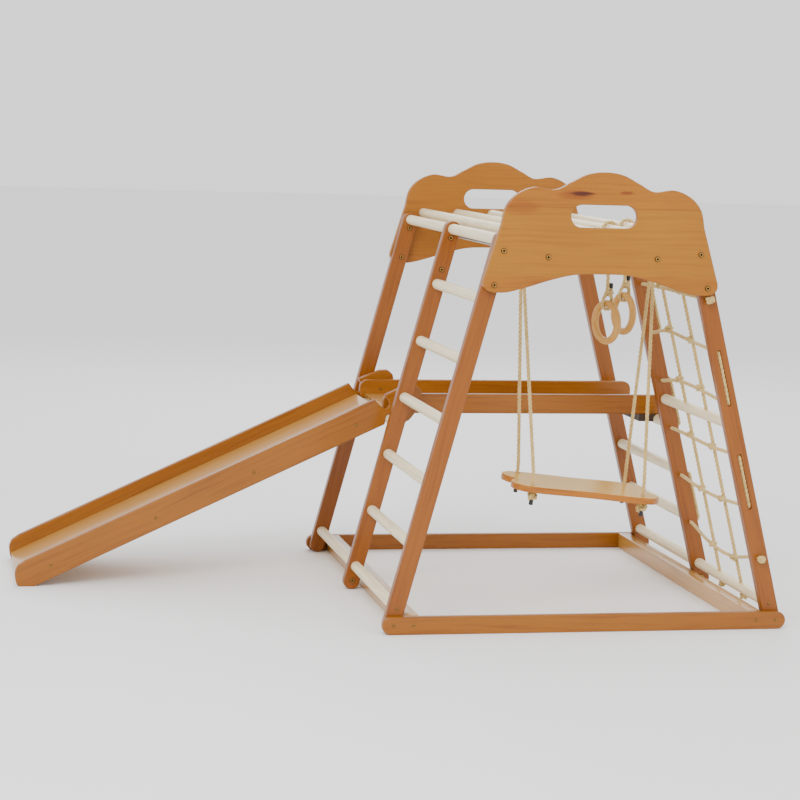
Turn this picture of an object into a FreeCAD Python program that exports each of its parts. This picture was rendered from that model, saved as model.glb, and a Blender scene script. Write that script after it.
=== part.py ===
"""Indoor climbing frame for toddlers: slide, swing, two hanging rings, a ladder, a rope net and a platform.

Frame of the model: X runs along the two long base rails, Y runs from the front side frame (swing side) to the
back one (slide side), Z is up from the floor. The slide leaves the frame towards -X.
"""
import FreeCAD, Part
import Sketcher
import math
import os
import re
from FreeCAD import Placement, Rotation, Vector

DRIVING = {
    # floor rails
    "rail_length": 940.0, "rail_height": 40.0, "rail_thick": 18.0,
    "cross_rail_x": 400.0, "cross_rail_thick": 32.0,
    # uprights: four legs and two middle stiles, all the same board
    "frame_depth": 980.0, "upright_width": 38.0, "upright_thick": 26.0,
    "upright_foot_x": 445.0, "upright_foot_z": 19.0, "upright_top_x": 223.0, "upright_top_z": 873.0,
    # round bars
    "bar_diameter": 25.0, "bar_socket": 10.0,
    "ladder_first_z": 56.0, "ladder_pitch": 137.0, "net_bar_z": 467.0, "side_bar_pitch": 116.0,
    "platform_bar_z": 404.0, "overhead_bar_z": 890.0, "overhead_bar_pitch": 92.0,
    # top panels
    "panel_thick": 18.0, "panel_half_width": 270.0, "panel_bottom_z": 767.0, "panel_arch_z": 803.0,
    "panel_crest_z": 1027.0, "panel_valley_x": 113.0, "panel_valley_z": 986.5, "panel_shoulder_x": 160.0,
    "panel_shoulder_z": 991.0, "panel_corner_x": 223.0, "panel_corner_z": 947.0,
    "slot_z": 930.0, "slot_length": 152.0, "slot_height": 50.0,
    # platform
    "deck_front_y": 86.0, "deck_width": 316.0, "deck_length": 704.0, "deck_thick": 12.0,
    "platform_rail_length": 726.0, "platform_rail_height": 48.0, "platform_rail_thick": 18.0,
    # slide
    "slide_angle": 25.0, "slide_front_y": 66.0, "slide_width": 356.0, "slide_wall_thick": 18.0,
    "slide_wall_height": 66.0, "slide_floor_thick": 12.0, "slide_floor_below_top": 30.0,
    "slide_foot_x": 1198.0,
    # swing
    "swing_y": 240.0, "swing_left_x": 92.0, "swing_right_x": 184.0, "rope_diameter": 9.0,
    "swing_loop_radius": 21.0, "seat_length": 350.0, "seat_width": 236.0, "seat_thick": 15.0,
    "seat_hole_length": 262.0, "seat_hole_width": 180.0, "seat_x": 47.0, "seat_z": 277.0,
    "seat_yaw": -3.5, "seat_tilt": 5.4,
    # rings
    "ring_diameter": 104.0, "ring_bar": 17.0, "ring_front_y": 255.0, "ring_back_y": 95.0,
    "ring_front_z": 676.0, "ring_back_z": 684.0,
    # net
    "net_first_z": 160.0, "net_pitch": 118.0,
    # fasteners
    "bolt_head": 12.0, "bolt_shank": 6.0, "bolt_head_height": 3.0, "nut_height": 3.0,
    "screw_head": 8.0, "screw_shank": 4.0, "screw_head_height": 1.5,
    "tie_x": 125.0, "tie_z": 839.0, "tie_diameter": 8.0,
    # knots and rope ends
    "net_tail": 22.0, "net_knot": 24.0, "net_end_knot": 20.0, "binding_knot": 24.0, "seat_knot": 28.0,
    "ring_knot": 24.0, "tip_length": 8.0, "ring_front_turn": 19.0, "ring_back_turn": 13.0,
    "batten_length": 50.0, "batten_height": 18.0, "slide_floor_length": 965.0,
    # the frame's middle, measured from the point below the middle of the whole object
    "frame_x": 387.0,
}

doc = FreeCAD.newDocument("toddler_climbing_frame")
sheet = doc.addObject("Spreadsheet::Sheet", "Sizes")
for row, (alias, value) in enumerate(DRIVING.items(), start=1):
    sheet.set("A%d" % row, alias)
    sheet.set("B%d" % row, str(value))
    sheet.setAlias("B%d" % row, alias)
doc.recompute()

DERIVED = {
    "lean": "=atan((upright_foot_x - upright_top_x) / (upright_top_z - upright_foot_z))",
    "upright_span": "=sqrt((upright_foot_x - upright_top_x)^2 + (upright_top_z - upright_foot_z)^2)",
    "face_y": "=frame_depth / 2",
    "leg_inner_y": "=frame_depth / 2 - upright_thick",
    "leg_socket_y": "=frame_depth / 2 - upright_thick + bar_socket",
    "panel_outer_y": "=frame_depth / 2 + panel_thick",
    "stile_socket_y": "=upright_thick / 2 - bar_socket",
    "deck_z": "=platform_bar_z + bar_diameter / 2",
    "slide_inner_y": "=slide_front_y + slide_wall_thick",
    "slide_slope": "=tan(slide_angle * 1deg)",
}
for row, (alias, formula) in enumerate(DERIVED.items(), start=len(DRIVING) + 1):
    sheet.set("A%d" % row, alias)
    sheet.set("B%d" % row, formula)
    sheet.setAlias("B%d" % row, alias)
doc.recompute()

ABOUT_Y_TO_X = Rotation(Vector(0, 1, 0), 90)
POLES_ALONG_Y = Rotation(Vector(1, 0, 0), 90)
ALONG_Y = Rotation(Vector(1, 0, 0), -90)
NODES = {}


def size(alias):
    """A sheet value as a plain number (angles in degrees)."""
    value = getattr(sheet, alias)
    return float(value.Value if hasattr(value, "Value") else value)


def cell(expression):
    """Write sheet names in an expression the way FreeCAD wants them."""
    known = "|".join(sorted(list(DRIVING) + list(DERIVED), key=len, reverse=True))
    return re.sub(r"\b(%s)\b" % known, r"<<Sizes>>.\1", str(expression))


def add(kind, name, **properties):
    """Add a document object with its properties bound to the sheet."""
    piece = doc.addObject(kind, name)
    for key, expression in properties.items():
        piece.setExpression(key, cell(expression))
    return piece


def put(piece, x, y, z, turn=None):
    """Place a piece by expressions; x is measured from the middle of the frame."""
    if turn is not None:
        piece.Placement = Placement(Vector(), turn)
    piece.setExpression("Placement.Base.x", cell("frame_x + (%s)" % x))
    piece.setExpression("Placement.Base.y", cell(y))
    piece.setExpression("Placement.Base.z", cell(z))
    return piece


def node(name, piece):
    """Name a finished piece and keep it for export."""
    piece.Label = name
    NODES[name] = piece
    return piece


def compound(name, pieces):
    group = doc.addObject("Part::Compound", name)
    group.Links = pieces
    return group


def minus(name, base, tools):
    """The base with the exact room for the pieces that sit in it."""
    cut = doc.addObject("Part::Cut", name)
    cut.Base = base
    cut.Tool = tools[0] if len(tools) == 1 else compound(name + "_fittings", tools)
    return cut


def box(name, x, y, z, length, width, height):
    return put(add("Part::Box", name, Length=length, Width=width, Height=height), x, y, z)


def rod(name, radius, x, z, start_y, end_y):
    """A round bar along Y."""
    piece = add("Part::Cylinder", name, Radius=radius, Height="(%s) - (%s)" % (end_y, start_y))
    return put(piece, x, start_y, z, ALONG_Y)


def line_x(side, z):
    """X of an upright's centre line at height z; side is -1 for the left and +1 for the right."""
    return "%d * (upright_foot_x - ((%s) - upright_foot_z) * tan(lean))" % (side, z)


# ---------------------------------------------------------------- ropes: straight runs joined by tangent arcs
def rounded_path(points, radius=None, closed=False):
    """Edges through the points with tangent arcs at the corners, and the radii of those arcs."""
    count = len(points)
    corners = range(count) if closed else range(1, count - 1)
    trims = {}
    radii = []
    for i in corners:
        before, here, after = points[i - 1], points[i], points[(i + 1) % count]
        a, b = (here - before), (after - here)
        half = a.getAngle(b) / 2
        reach = 0.45 * min(a.Length, b.Length)
        arc_radius = reach / math.tan(half)
        if radius is not None and arc_radius > radius:
            arc_radius = radius
            reach = radius * math.tan(half)
        a.normalize()
        b.normalize()
        middle = here + (b - a).normalize() * (arc_radius / math.cos(half) - arc_radius)
        trims[i] = (here - a * reach, middle, here + b * reach)
        radii.append(arc_radius)
    edges = []
    steps = range(count) if closed else range(count - 1)
    for i in steps:
        j = (i + 1) % count
        start = trims[i][2] if i in trims else points[i]
        end = trims[j][0] if j in trims else points[j]
        if (end - start).Length > 1e-6:
            edges.append(Part.LineSegment(start, end).toShape())
        if j in trims:
            edges.append(Part.Arc(*trims[j]).toShape())
    return edges, radii


def rope(name, points, radius=None):
    """A plain round rope along the points, in frame coordinates."""
    shift = Vector(size("frame_x"), 0, 0)
    edges, radii = rounded_path([p + shift for p in points], radius)
    path = Part.Wire(edges)
    start = edges[0].valueAt(edges[0].FirstParameter)
    heading = edges[0].tangentAt(edges[0].FirstParameter)
    section = Part.Wire([Part.Circle(start, heading, size("rope_diameter") / 2).toShape()])
    solid = path.makePipeShell([section], True, False)
    expected = math.pi * (size("rope_diameter") / 2) ** 2 * path.Length
    print("rope %s: length %.0f, tightest arc %.1f, volume ratio %.3f"
          % (name, path.Length, min(radii) if radii else 0, solid.Volume / expected))
    piece = doc.addObject("Part::Feature", name)
    piece.Shape = solid
    return piece


def ball(name, radius, x, y, z, turn=None):
    """A knot as a ball; turn it when a rope would run out through its poles."""
    return put(add("Part::Sphere", name, Radius=radius), x, y, z, turn)


# ---------------------------------------------------------------- fasteners
def bolt(name, x, y, z, towards, head, shank, length, head_height):
    """A bolt along Y: head on the face at y, shank running towards +Y (1) or -Y (-1)."""
    outside = "(%s) - %d * (%s)" % (y, towards, head_height)
    start, end = (outside, y) if towards > 0 else (y, outside)
    cap = rod(name + "_head", "(%s) / 2" % head, x, z, start, end)
    inside = "(%s) + %d * (%s)" % (y, towards, length)
    start, end = (y, inside) if towards > 0 else (inside, y)
    shaft = rod(name + "_shank", "(%s) / 2" % shank, x, z, start, end)
    whole = doc.addObject("Part::Fuse", name)
    whole.Base, whole.Tool = cap, shaft
    return whole


BOLT = dict(head="bolt_head", shank="bolt_shank", head_height="bolt_head_height")
SCREW = dict(head="screw_head", shank="screw_shank", head_height="screw_head_height")
PANEL_BOLTS = [(226, 851), (-226, 851), (245, 776), (-245, 776)]

panel_bolts = {}
for where, towards in (("near", 1), ("far", -1)):
    face = "%d * panel_outer_y" % -towards
    long_bolts = [bolt("%s_panel_bolt_%d" % (where, i), x, face, z, towards,
                       length="panel_thick + upright_thick", **BOLT) for i, (x, z) in enumerate(PANEL_BOLTS)]
    short = [bolt("%s_tie_bolt_%d" % (where, side), "%d * tie_x" % side, face, "tie_z", towards,
                  length="panel_thick", **BOLT) for side in (-1, 1)]
    panel_bolts[where] = compound(where + "_panel_bolts", long_bolts + short)

nuts = []
for side_y in (-1, 1):
    for i, (x, z) in enumerate(PANEL_BOLTS):
        inner, outer = "%d * leg_inner_y" % side_y, "%d * (leg_inner_y - nut_height)" % side_y
        start, end = (inner, outer) if side_y < 0 else (outer, inner)
        nuts.append(rod("panel_nut_%d_%d" % (side_y + 1, i), "bolt_head / 2", x, z, start, end))

tie_rods = node("tie_rods", compound("tie_rods", [
    rod("tie_rod_%d" % side, "tie_diameter / 2", "%d * tie_x" % side, "tie_z", "-face_y", "face_y")
    for side in (-1, 1)]))

stile_bolts = compound("stile_bolts", [
    bolt("stile_bolt_%d_%d" % (side + 1, z), line_x(side, z), "-upright_thick / 2", z, 1,
         length="upright_thick * 0.7", **BOLT)
    for side in (-1, 1) for z in (852, 776, 22)])
node("frame_bolts", compound("frame_bolts", [panel_bolts["near"], panel_bolts["far"], stile_bolts] + nuts))

rail_screws = compound("rail_screws", [
    bolt("rail_screw_%d_%d_%d" % (end + 1, side + 1, i), "%d * (%s)" % (side, x),
         "%d * (face_y + rail_thick)" % end, 22, -end, length="rail_thick + %d" % grip, **SCREW)
    for end in (-1, 1) for side in (-1, 1) for i, (x, grip) in enumerate((("upright_foot_x", 15),
                                                                      ("cross_rail_x", 25)))])
leg_screws = compound("leg_screws", [
    bolt("leg_screw_%d_%d" % (end + 1, side + 1), line_x(side, "ladder_first_z"), "%d * face_y" % end,
         "ladder_first_z", -end, length="upright_thick - bar_socket", **SCREW)
    for end in (-1, 1) for side in (-1, 1)])
node("frame_screws", compound("frame_screws", [rail_screws, leg_screws]))

# ---------------------------------------------------------------- round bars
FULL = ("-leg_socket_y", "leg_socket_y")
NEAR_HALF = ("-leg_socket_y", "-stile_socket_y")
FAR_HALF = ("stile_socket_y", "leg_socket_y")
LEFT, RIGHT = -1, 1


def bar(name, side, z, span):
    return rod(name, "bar_diameter / 2", line_x(side, z), z, *span)


left_full = [bar("left_top_bar", LEFT, "upright_top_z", FULL), bar("left_bottom_bar", LEFT, "ladder_first_z", FULL)]
ladder = [bar("ladder_rung_%d" % i, LEFT, "ladder_first_z + %d * ladder_pitch" % i, NEAR_HALF) for i in range(1, 6)]
platform_left_bar = bar("platform_left_bar", LEFT, "platform_bar_z", FAR_HALF)
for piece in left_full + ladder + [platform_left_bar]:
    node(piece.Name, piece)

# the net's two upright ropes hang in the plane of the right uprights
NET_LINES = {"front": 316, "back": 170}
net_lines = {}
for place, y in NET_LINES.items():
    line = add("Part::Cylinder", "net_upright_rope_" + place, Radius="rope_diameter / 2",
               Height="(upright_top_z - ladder_first_z + 2 * net_tail) / cos(lean)")
    put(line, line_x(RIGHT, "ladder_first_z - net_tail"), -y, "ladder_first_z - net_tail",
        Rotation(Vector(0, -1, 0), 10))
    line.setExpression("Placement.Rotation.Angle", cell("lean"))
    net_lines[place] = node("net_upright_rope_" + place, line)

threaded = [("right_top_bar", "upright_top_z", FULL), ("right_bottom_bar", "ladder_first_z", FULL),
            ("net_middle_bar", "net_bar_z", NEAR_HALF)]
right_bars = {}
for name, z, span in threaded:
    right_bars[name] = node(name, minus(name, bar(name + "_blank", RIGHT, z, span), list(net_lines.values())))
right_far = [bar("right_far_bar_%d" % i, RIGHT, "platform_bar_z - %d * side_bar_pitch" % i, FAR_HALF) for i in (1, 2)]
platform_right_bar = bar("platform_right_bar", RIGHT, "platform_bar_z", FAR_HALF)
for piece in right_far + [platform_right_bar]:
    node(piece.Name, piece)

overhead = [node("overhead_bar_%d" % (i + 1),
                 rod("overhead_bar_%d" % (i + 1), "bar_diameter / 2", "%d * overhead_bar_pitch" % (i - 2),
                     "overhead_bar_z", "-face_y - bar_socket", "face_y + bar_socket")) for i in range(5)]

# ---------------------------------------------------------------- the net's long rope
lean = math.radians(size("lean"))
UP = Vector(-math.sin(lean), 0, math.cos(lean))
OUT = Vector(math.cos(lean), 0, math.sin(lean))


def on_right(z, y, out=0.0):
    """A point on the right uprights' centre line at height z, moved outwards by out."""
    x = size("upright_foot_x") - (z - size("upright_foot_z")) * math.tan(lean)
    return Vector(x, y, z) + OUT * out


rope_d = size("rope_diameter")
rows = [size("net_first_z") + size("net_pitch") * i for i in range(6)][::-1]
KNOT_Z = {"front": (756, 645, 533, 396, 272, 131), "back": (758, 656, 536, 402, 273, 136)}
leg_face, stile_face = -size("face_y"), -size("upright_thick") / 2
side_out = size("upright_width") / 2 + rope_d / 2 + 0.5
groove_y = leg_face + rope_d / 2 + 0.3
channel_y = stile_face + 8.0
behind = -(rope_d + 0.2)
points = [on_right(rows[0], leg_face - 14)]
for i, z in enumerate(rows):
    crossing = [on_right(KNOT_Z["front"][i], -NET_LINES["front"], behind),
                on_right(KNOT_Z["back"][i], -NET_LINES["back"], behind)]
    straight = [on_right(z, leg_face + 34), on_right(z, stile_face - 12)]
    if i % 2 == 0:
        if i > 0:
            points.append(on_right(z, groove_y))
        points += [straight[0]] + crossing + [straight[1], on_right(z, channel_y), on_right(z, channel_y, side_out)]
    else:
        points += [on_right(z, channel_y, side_out), on_right(z, channel_y), straight[1]] + crossing[::-1]
        points.append(straight[0])
        if i < 5:
            points.append(on_right(z, groove_y))
points.append(on_right(rows[5], leg_face - 14))
net_rope = node("net_rope", rope("net_rope", points, radius=9.0))

knots = []
for place, y in NET_LINES.items():
    for i in range(6):
        centre = on_right(KNOT_Z[place][i], -y, behind / 2)
        knots.append(ball("net_knot_%s_%d" % (place, i), "net_knot / 2", centre.x, centre.y, centre.z))
crossing_knots = minus("net_crossing_knots", compound("net_knot_balls", knots), [net_rope] + list(net_lines.values()))
ends = []
for place, y in NET_LINES.items():
    for name, z in (("top", size("upright_top_z") + 19), ("foot", size("ladder_first_z") - 19)):
        centre = on_right(z, -y)
        ends.append(ball("net_end_%s_%s" % (place, name), "net_knot / 2", centre.x, centre.y, centre.z))
for name, z in (("first", rows[0]), ("last", rows[5])):
    centre = on_right(z, leg_face - 8)
    ends.append(ball("net_end_" + name, "net_end_knot / 2", centre.x, centre.y, centre.z))

# ---------------------------------------------------------------- uprights
def upright(name, side, front_y, fittings):
    """A board with round ends, leaning in towards the top, with room for what is fitted into it."""
    blank = add("Part::Box", name + "_board", Length="upright_width", Width="upright_thick", Height="upright_span")
    blank.setExpression("Placement.Base.x", cell("-upright_width / 2"))
    parts = [blank]
    for end, height in (("foot", "0"), ("head", "upright_span")):
        cap = add("Part::Cylinder", name + "_" + end, Radius="upright_width / 2", Height="upright_thick")
        cap.Placement = Placement(Vector(), ALONG_Y)
        cap.setExpression("Placement.Base.z", cell(height))
        parts.append(cap)
    board = doc.addObject("Part::MultiFuse", name + "_blank")
    board.Shapes = parts
    board.Refine = True
    put(board, "%d * upright_foot_x" % side, front_y, "upright_foot_z", Rotation(Vector(0, -side, 0), 10))
    board.setExpression("Placement.Rotation.Angle", cell("lean"))
    return node(name, minus(name, board, fittings))


def groove(name, upper, lower):
    """The open groove on the front of the right leg that takes the rope from one row to the next."""
    piece = add("Part::Box", name, Length="rope_diameter", Width=str(groove_y - leg_face + 5),
                Height="(%s) / cos(lean)" % (upper - lower))
    foot = on_right(lower, leg_face - 5) - OUT * (rope_d / 2)
    put(piece, foot.x, foot.y, foot.z, Rotation(Vector(0, -1, 0), 10))
    piece.setExpression("Placement.Rotation.Angle", cell("lean"))
    return piece


grooves = [groove("net_groove_1", rows[1], rows[2]), groove("net_groove_2", rows[3], rows[4])]
all_left, all_right = left_full, [right_bars["right_top_bar"], right_bars["right_bottom_bar"]]
upright("near_left_leg", LEFT, "-face_y", all_left + ladder + [panel_bolts["near"], rail_screws, leg_screws])
near_right = upright("near_right_leg", RIGHT, "-face_y", all_right + [
    right_bars["net_middle_bar"], panel_bolts["near"], rail_screws, leg_screws, net_rope] + grooves)
upright("mid_left_stile", LEFT, "-upright_thick / 2", all_left + ladder + [platform_left_bar, stile_bolts])
upright("mid_right_stile", RIGHT, "-upright_thick / 2", all_right + right_far + [
    right_bars["net_middle_bar"], platform_right_bar, stile_bolts, net_rope])
upright("far_left_leg", LEFT, "leg_inner_y", all_left + [platform_left_bar, panel_bolts["far"], rail_screws, leg_screws])
upright("far_right_leg", RIGHT, "leg_inner_y", all_right + right_far + [
    platform_right_bar, panel_bolts["far"], rail_screws, leg_screws])
end_knots = minus("net_end_knots", compound("net_end_balls", ends), [
    net_rope, right_bars["right_top_bar"], right_bars["right_bottom_bar"], near_right] + list(net_lines.values()))
node("net_knots", compound("net_knots", [crossing_knots, end_knots]))

# ---------------------------------------------------------------- floor rails
def floor_rail(name, front_y):
    parts = [box(name + "_board", "-rail_length / 2 + rail_height / 2", front_y, 0,
                 "rail_length - rail_height", "rail_thick", "rail_height")]
    for side in (-1, 1):
        parts.append(rod("%s_end_%d" % (name, side + 1), "rail_height / 2",
                         "%d * (rail_length - rail_height) / 2" % side, "rail_height / 2",
                         front_y, "(%s) + rail_thick" % front_y))
    board = doc.addObject("Part::MultiFuse", name + "_blank")
    board.Shapes = parts
    board.Refine = True
    return node(name, minus(name, board, [rail_screws]))


floor_rail("near_floor_rail", "-face_y - rail_thick")
floor_rail("far_floor_rail", "face_y")
for side, name in ((LEFT, "left_cross_rail"), (RIGHT, "right_cross_rail")):
    node(name, minus(name, box(name + "_board", "%d * cross_rail_x - cross_rail_thick / 2" % side, "-face_y", 0,
                               "cross_rail_thick", "frame_depth", "rail_height"), [rail_screws]))

# ---------------------------------------------------------------- cloud-topped panels with a hand slot
def smooth(points):
    curve = Part.BSplineCurve()
    curve.interpolate(points)
    return curve.toShape()


def panel(name, front_y, fittings):
    """The panel's outline is a smooth cloud top, straight sides, round lower corners and an arched lower edge."""
    half, low = size("panel_half_width"), size("panel_bottom_z")
    corner_x, corner_z = size("panel_corner_x"), size("panel_corner_z")
    x0 = size("frame_x")
    top_right = [(0, size("panel_crest_z")), (40, size("panel_crest_z") - 5.5), (78, size("panel_crest_z") - 24),
                 (size("panel_valley_x"), size("panel_valley_z")), (size("panel_shoulder_x"), size("panel_shoulder_z")),
                 (corner_x - 24, corner_z + 28), (corner_x, corner_z), (corner_x + 9, corner_z - 38)]
    arch_right = [(0, size("panel_arch_z")), (62, size("panel_arch_z") - 2), (119, size("panel_arch_z") - 15),
                  (170, low + 5), (212, low - 6), (238, low - 8)]

    def mirrored(points):
        return [Vector(x0 - x, front_y, z) for x, z in points[:0:-1]] + [Vector(x0 + x, front_y, z) for x, z in points]

    top, arch = mirrored(top_right), mirrored(arch_right)
    edges = [smooth(top)]
    for sign, upper, lower in ((1, top[-1], arch[-1]), (-1, top[0], arch[0])):
        side_foot = Vector(x0 + sign * (half - 1), front_y, low + 18)
        turn = Vector(x0 + sign * (half - 6), front_y, low + 1)
        edges += [Part.LineSegment(upper, side_foot).toShape(), Part.Arc(side_foot, turn, lower).toShape()]
    edges.append(smooth(arch))
    outline = Part.Wire(Part.__sortEdges__(edges))
    radius, reach, level = size("slot_height") / 2, size("slot_length") / 2, size("slot_z")
    slot = []
    for sign in (1, -1):
        end = Vector(x0 + sign * (reach - radius), front_y, level)
        slot.append(Part.Arc(end + Vector(0, 0, radius * sign), end + Vector(sign * radius, 0, 0),
                             end - Vector(0, 0, radius * sign)).toShape())
    slot += [Part.LineSegment(Vector(x0 + reach - radius, front_y, level + s * radius),
                              Vector(x0 - reach + radius, front_y, level + s * radius)).toShape() for s in (1, -1)]
    face = Part.Face([outline, Part.Wire(Part.__sortEdges__(slot))])
    face.validate()
    blank = doc.addObject("Part::Feature", name + "_blank")
    blank.Shape = face.extrude(Vector(0, size("panel_thick"), 0))
    return node(name, minus(name, blank, fittings))


panel("near_panel", -size("panel_outer_y"), overhead + [panel_bolts["near"]])
panel("far_panel", size("face_y"), overhead + [panel_bolts["far"]])

# ---------------------------------------------------------------- sketched boards
def origin_plane(body, role):
    return next(f for f in body.Origin.OriginFeatures if f.Role == role)


def sketched_board(name, corners, thickness, start_y):
    """A board with a drawn outline in the XZ plane; corners are pairs of expressions, x from the frame's middle."""
    body = doc.addObject("PartDesign::Body", name + "_body")
    sketch = body.newObject("Sketcher::SketchObject", name + "_sketch")
    sketch.AttachmentSupport = (origin_plane(body, "XZ_Plane"), [""])
    sketch.MapMode = "FlatFace"
    count = len(corners)
    values = [(100 * math.cos(math.tau * i / count), 100 * math.sin(math.tau * i / count)) for i in range(count)]
    for i in range(count):
        (x1, z1), (x2, z2) = values[i], values[(i + 1) % count]
        sketch.addGeometry(Part.LineSegment(Vector(x1, z1, 0), Vector(x2, z2, 0)), False)
    for i in range(count):
        sketch.addConstraint(Sketcher.Constraint("Coincident", i, 2, (i + 1) % count, 1))
    for i, (x, z) in enumerate(corners):
        for kind, expression, value in (("DistanceX", x, values[i][0]), ("DistanceY", z, values[i][1])):
            index = sketch.addConstraint(Sketcher.Constraint(kind, -1, 1, i, 1, value))
            sketch.setExpression("Constraints[%d]" % index, cell(expression))
    pad = body.newObject("PartDesign::Pad", name + "_pad")
    pad.Profile = sketch
    pad.setExpression("Length", cell(thickness))
    pad.Reversed = True
    body.setExpression("Placement.Base.x", cell("frame_x"))
    body.setExpression("Placement.Base.y", cell(start_y))
    return body


# ---------------------------------------------------------------- platform
platform_screws = node("platform_screws", compound("platform_screws", [
    bolt("platform_screw_%d_%d" % (end, i), x, y, "deck_z + 6", towards, length="platform_rail_thick + 15",
         head="screw_head", shank="screw_shank", head_height="0.8")
    for end, (y, towards) in enumerate((("deck_front_y", 1), ("deck_front_y + deck_width", -1)))
    for i, x in enumerate((-305, 0, 330))]))
left_end, right_end = "-platform_rail_length / 2 + 3", "platform_rail_length / 2 + 3"
rail_top = "deck_z + platform_rail_height"
RAIL_OUTLINE = [(left_end, "deck_z"), (right_end, "deck_z"), (right_end, "(%s) - 27" % rail_top),
                ("%s - 3" % right_end, "(%s) - 16" % rail_top), ("%s - 9" % right_end, "(%s) - 8" % rail_top),
                ("%s - 18" % right_end, "(%s) - 2.5" % rail_top), ("%s - 28" % right_end, rail_top),
                ("%s + 28" % left_end, rail_top), ("%s + 18" % left_end, "(%s) - 2.5" % rail_top),
                ("%s + 9" % left_end, "(%s) - 8" % rail_top), ("%s + 3" % left_end, "(%s) - 16" % rail_top),
                (left_end, "(%s) - 27" % rail_top)]
for name, start_y in (("platform_near_rail", "deck_front_y"),
                      ("platform_far_rail", "deck_front_y + deck_width - platform_rail_thick")):
    blank = sketched_board(name, RAIL_OUTLINE, "platform_rail_thick", start_y)
    node(name, minus(name, blank, [platform_screws]))
node("platform_deck", minus("platform_deck", box(
    "platform_deck_board", "-deck_length / 2 + 3", "deck_front_y + platform_rail_thick", "deck_z",
    "deck_length", "deck_width - 2 * platform_rail_thick", "deck_thick"), [platform_screws]))
node("platform_battens", compound("platform_battens", [
    minus(name, box(name + "_board", x, "deck_front_y", "deck_z - batten_height",
                    "batten_length", "deck_width", "batten_height"), [bar_piece])
    for name, x, bar_piece in (("left_batten", "-345", platform_left_bar),
                               ("right_batten", "345 - batten_length", platform_right_bar))]))

# ---------------------------------------------------------------- slide
slide_screws = node("slide_screws", compound("slide_screws", [
    bolt("slide_screw_%d_%d" % (end, i), x, y, z, towards, length="slide_wall_thick + 14", **SCREW)
    for end, (y, towards) in enumerate((("slide_front_y", 1), ("slide_front_y + slide_width", -1)))
    for i, (x, z) in enumerate(((-1160, 50), (-913, 164.5), (-678, 274), (-431, 389.5)))]))


def bottom_line(x):
    return "slide_slope * (%s + slide_foot_x)" % x


def top_line(x):
    return "slide_slope * (%s + slide_foot_x) + slide_wall_height / cos(slide_angle * 1deg)" % x


hook_x = -345
recess = [(hook_x - 13, 404), (hook_x - 12, 409), (hook_x - 9.2, 413.2), (hook_x - 5, 416), (hook_x, 417),
          (hook_x + 5, 416), (hook_x + 9.2, 413.2), (hook_x + 12, 409), (hook_x + 13, 404)]
WALL_OUTLINE = [("-1235", "0"), ("-slide_foot_x", "0"), ("-358", bottom_line("-358"))] + recess + [
    ("-332", "390"), ("-316", "391"), ("-296", "404"), ("-276", "430"), ("-266", "456"), ("-271", "477"),
    ("-285", "488"), ("-304", "487"), ("-332", top_line("-334")), ("-360", top_line("-360")), ("-354", "452"),
    ("-349", "441"), ("-353", "432"), ("-361", "430"), ("-372", "436"), ("-385", top_line("-385")),
    ("-1220", top_line("-1220")), ("-1229", "56"), ("-1237", "50"), ("-1242", "40"), ("-1244", "29"), ("-1242", "14"),
    ("-1239", "5")]
for name, start_y in (("slide_near_wall", "slide_front_y"),
                      ("slide_far_wall", "slide_front_y + slide_width - slide_wall_thick")):
    node(name, minus(name, sketched_board(name, WALL_OUTLINE, "slide_wall_thick", start_y), [slide_screws]))
floor_blank = add("Part::Box", "slide_floor_board", Length="slide_floor_length", Width="slide_width - 2 * slide_wall_thick",
                  Height="slide_floor_thick")
put(floor_blank, "-1240 - slide_floor_thick * sin(slide_angle * 1deg) * -1", "slide_inner_y",
    "%s - (slide_floor_below_top + slide_floor_thick) / cos(slide_angle * 1deg)" % top_line("-1240"),
    Rotation(Vector(0, -1, 0), 10))
floor_blank.setExpression("Placement.Rotation.Angle", cell("slide_angle"))
node("slide_floor", minus("slide_floor", floor_blank, [slide_screws]))

# ---------------------------------------------------------------- swing
seat_turn = Rotation(Vector(0, 0, 1), size("seat_yaw")).multiply(Rotation(Vector(0, 1, 0), size("seat_tilt")))
seat_at = Vector(size("seat_x"), -size("swing_y"), size("seat_z"))


def on_seat(x, y, z):
    """A point of the seat's own frame, in frame coordinates."""
    return seat_at + seat_turn.multVec(Vector(x, y, z))


half_l, half_w = size("seat_length") / 2, size("seat_width") / 2
quarter = [(0, half_w - 8), (half_l * 0.35, half_w - 3), (half_l * 0.62, half_w), (half_l * 0.85, half_w - 6),
           (half_l * 0.97, half_w * 0.72), (half_l, half_w * 0.46), (half_l - 8, half_w * 0.2), (half_l - 21, 0)]
loop = quarter + [(x, -y) for x, y in quarter[-2::-1]]
loop += [(-x, y) for x, y in loop[-2:0:-1]]
outline = Part.BSplineCurve()
outline.interpolate([Vector(x, y, 0) for x, y in loop], PeriodicFlag=True)
seat_blank = doc.addObject("Part::Feature", "seat_blank")
seat_blank.Shape = Part.Face(Part.Wire([outline.toShape()])).extrude(Vector(0, 0, size("seat_thick")))
put(seat_blank, "seat_x", "-swing_y", "seat_z", seat_turn)

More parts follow.
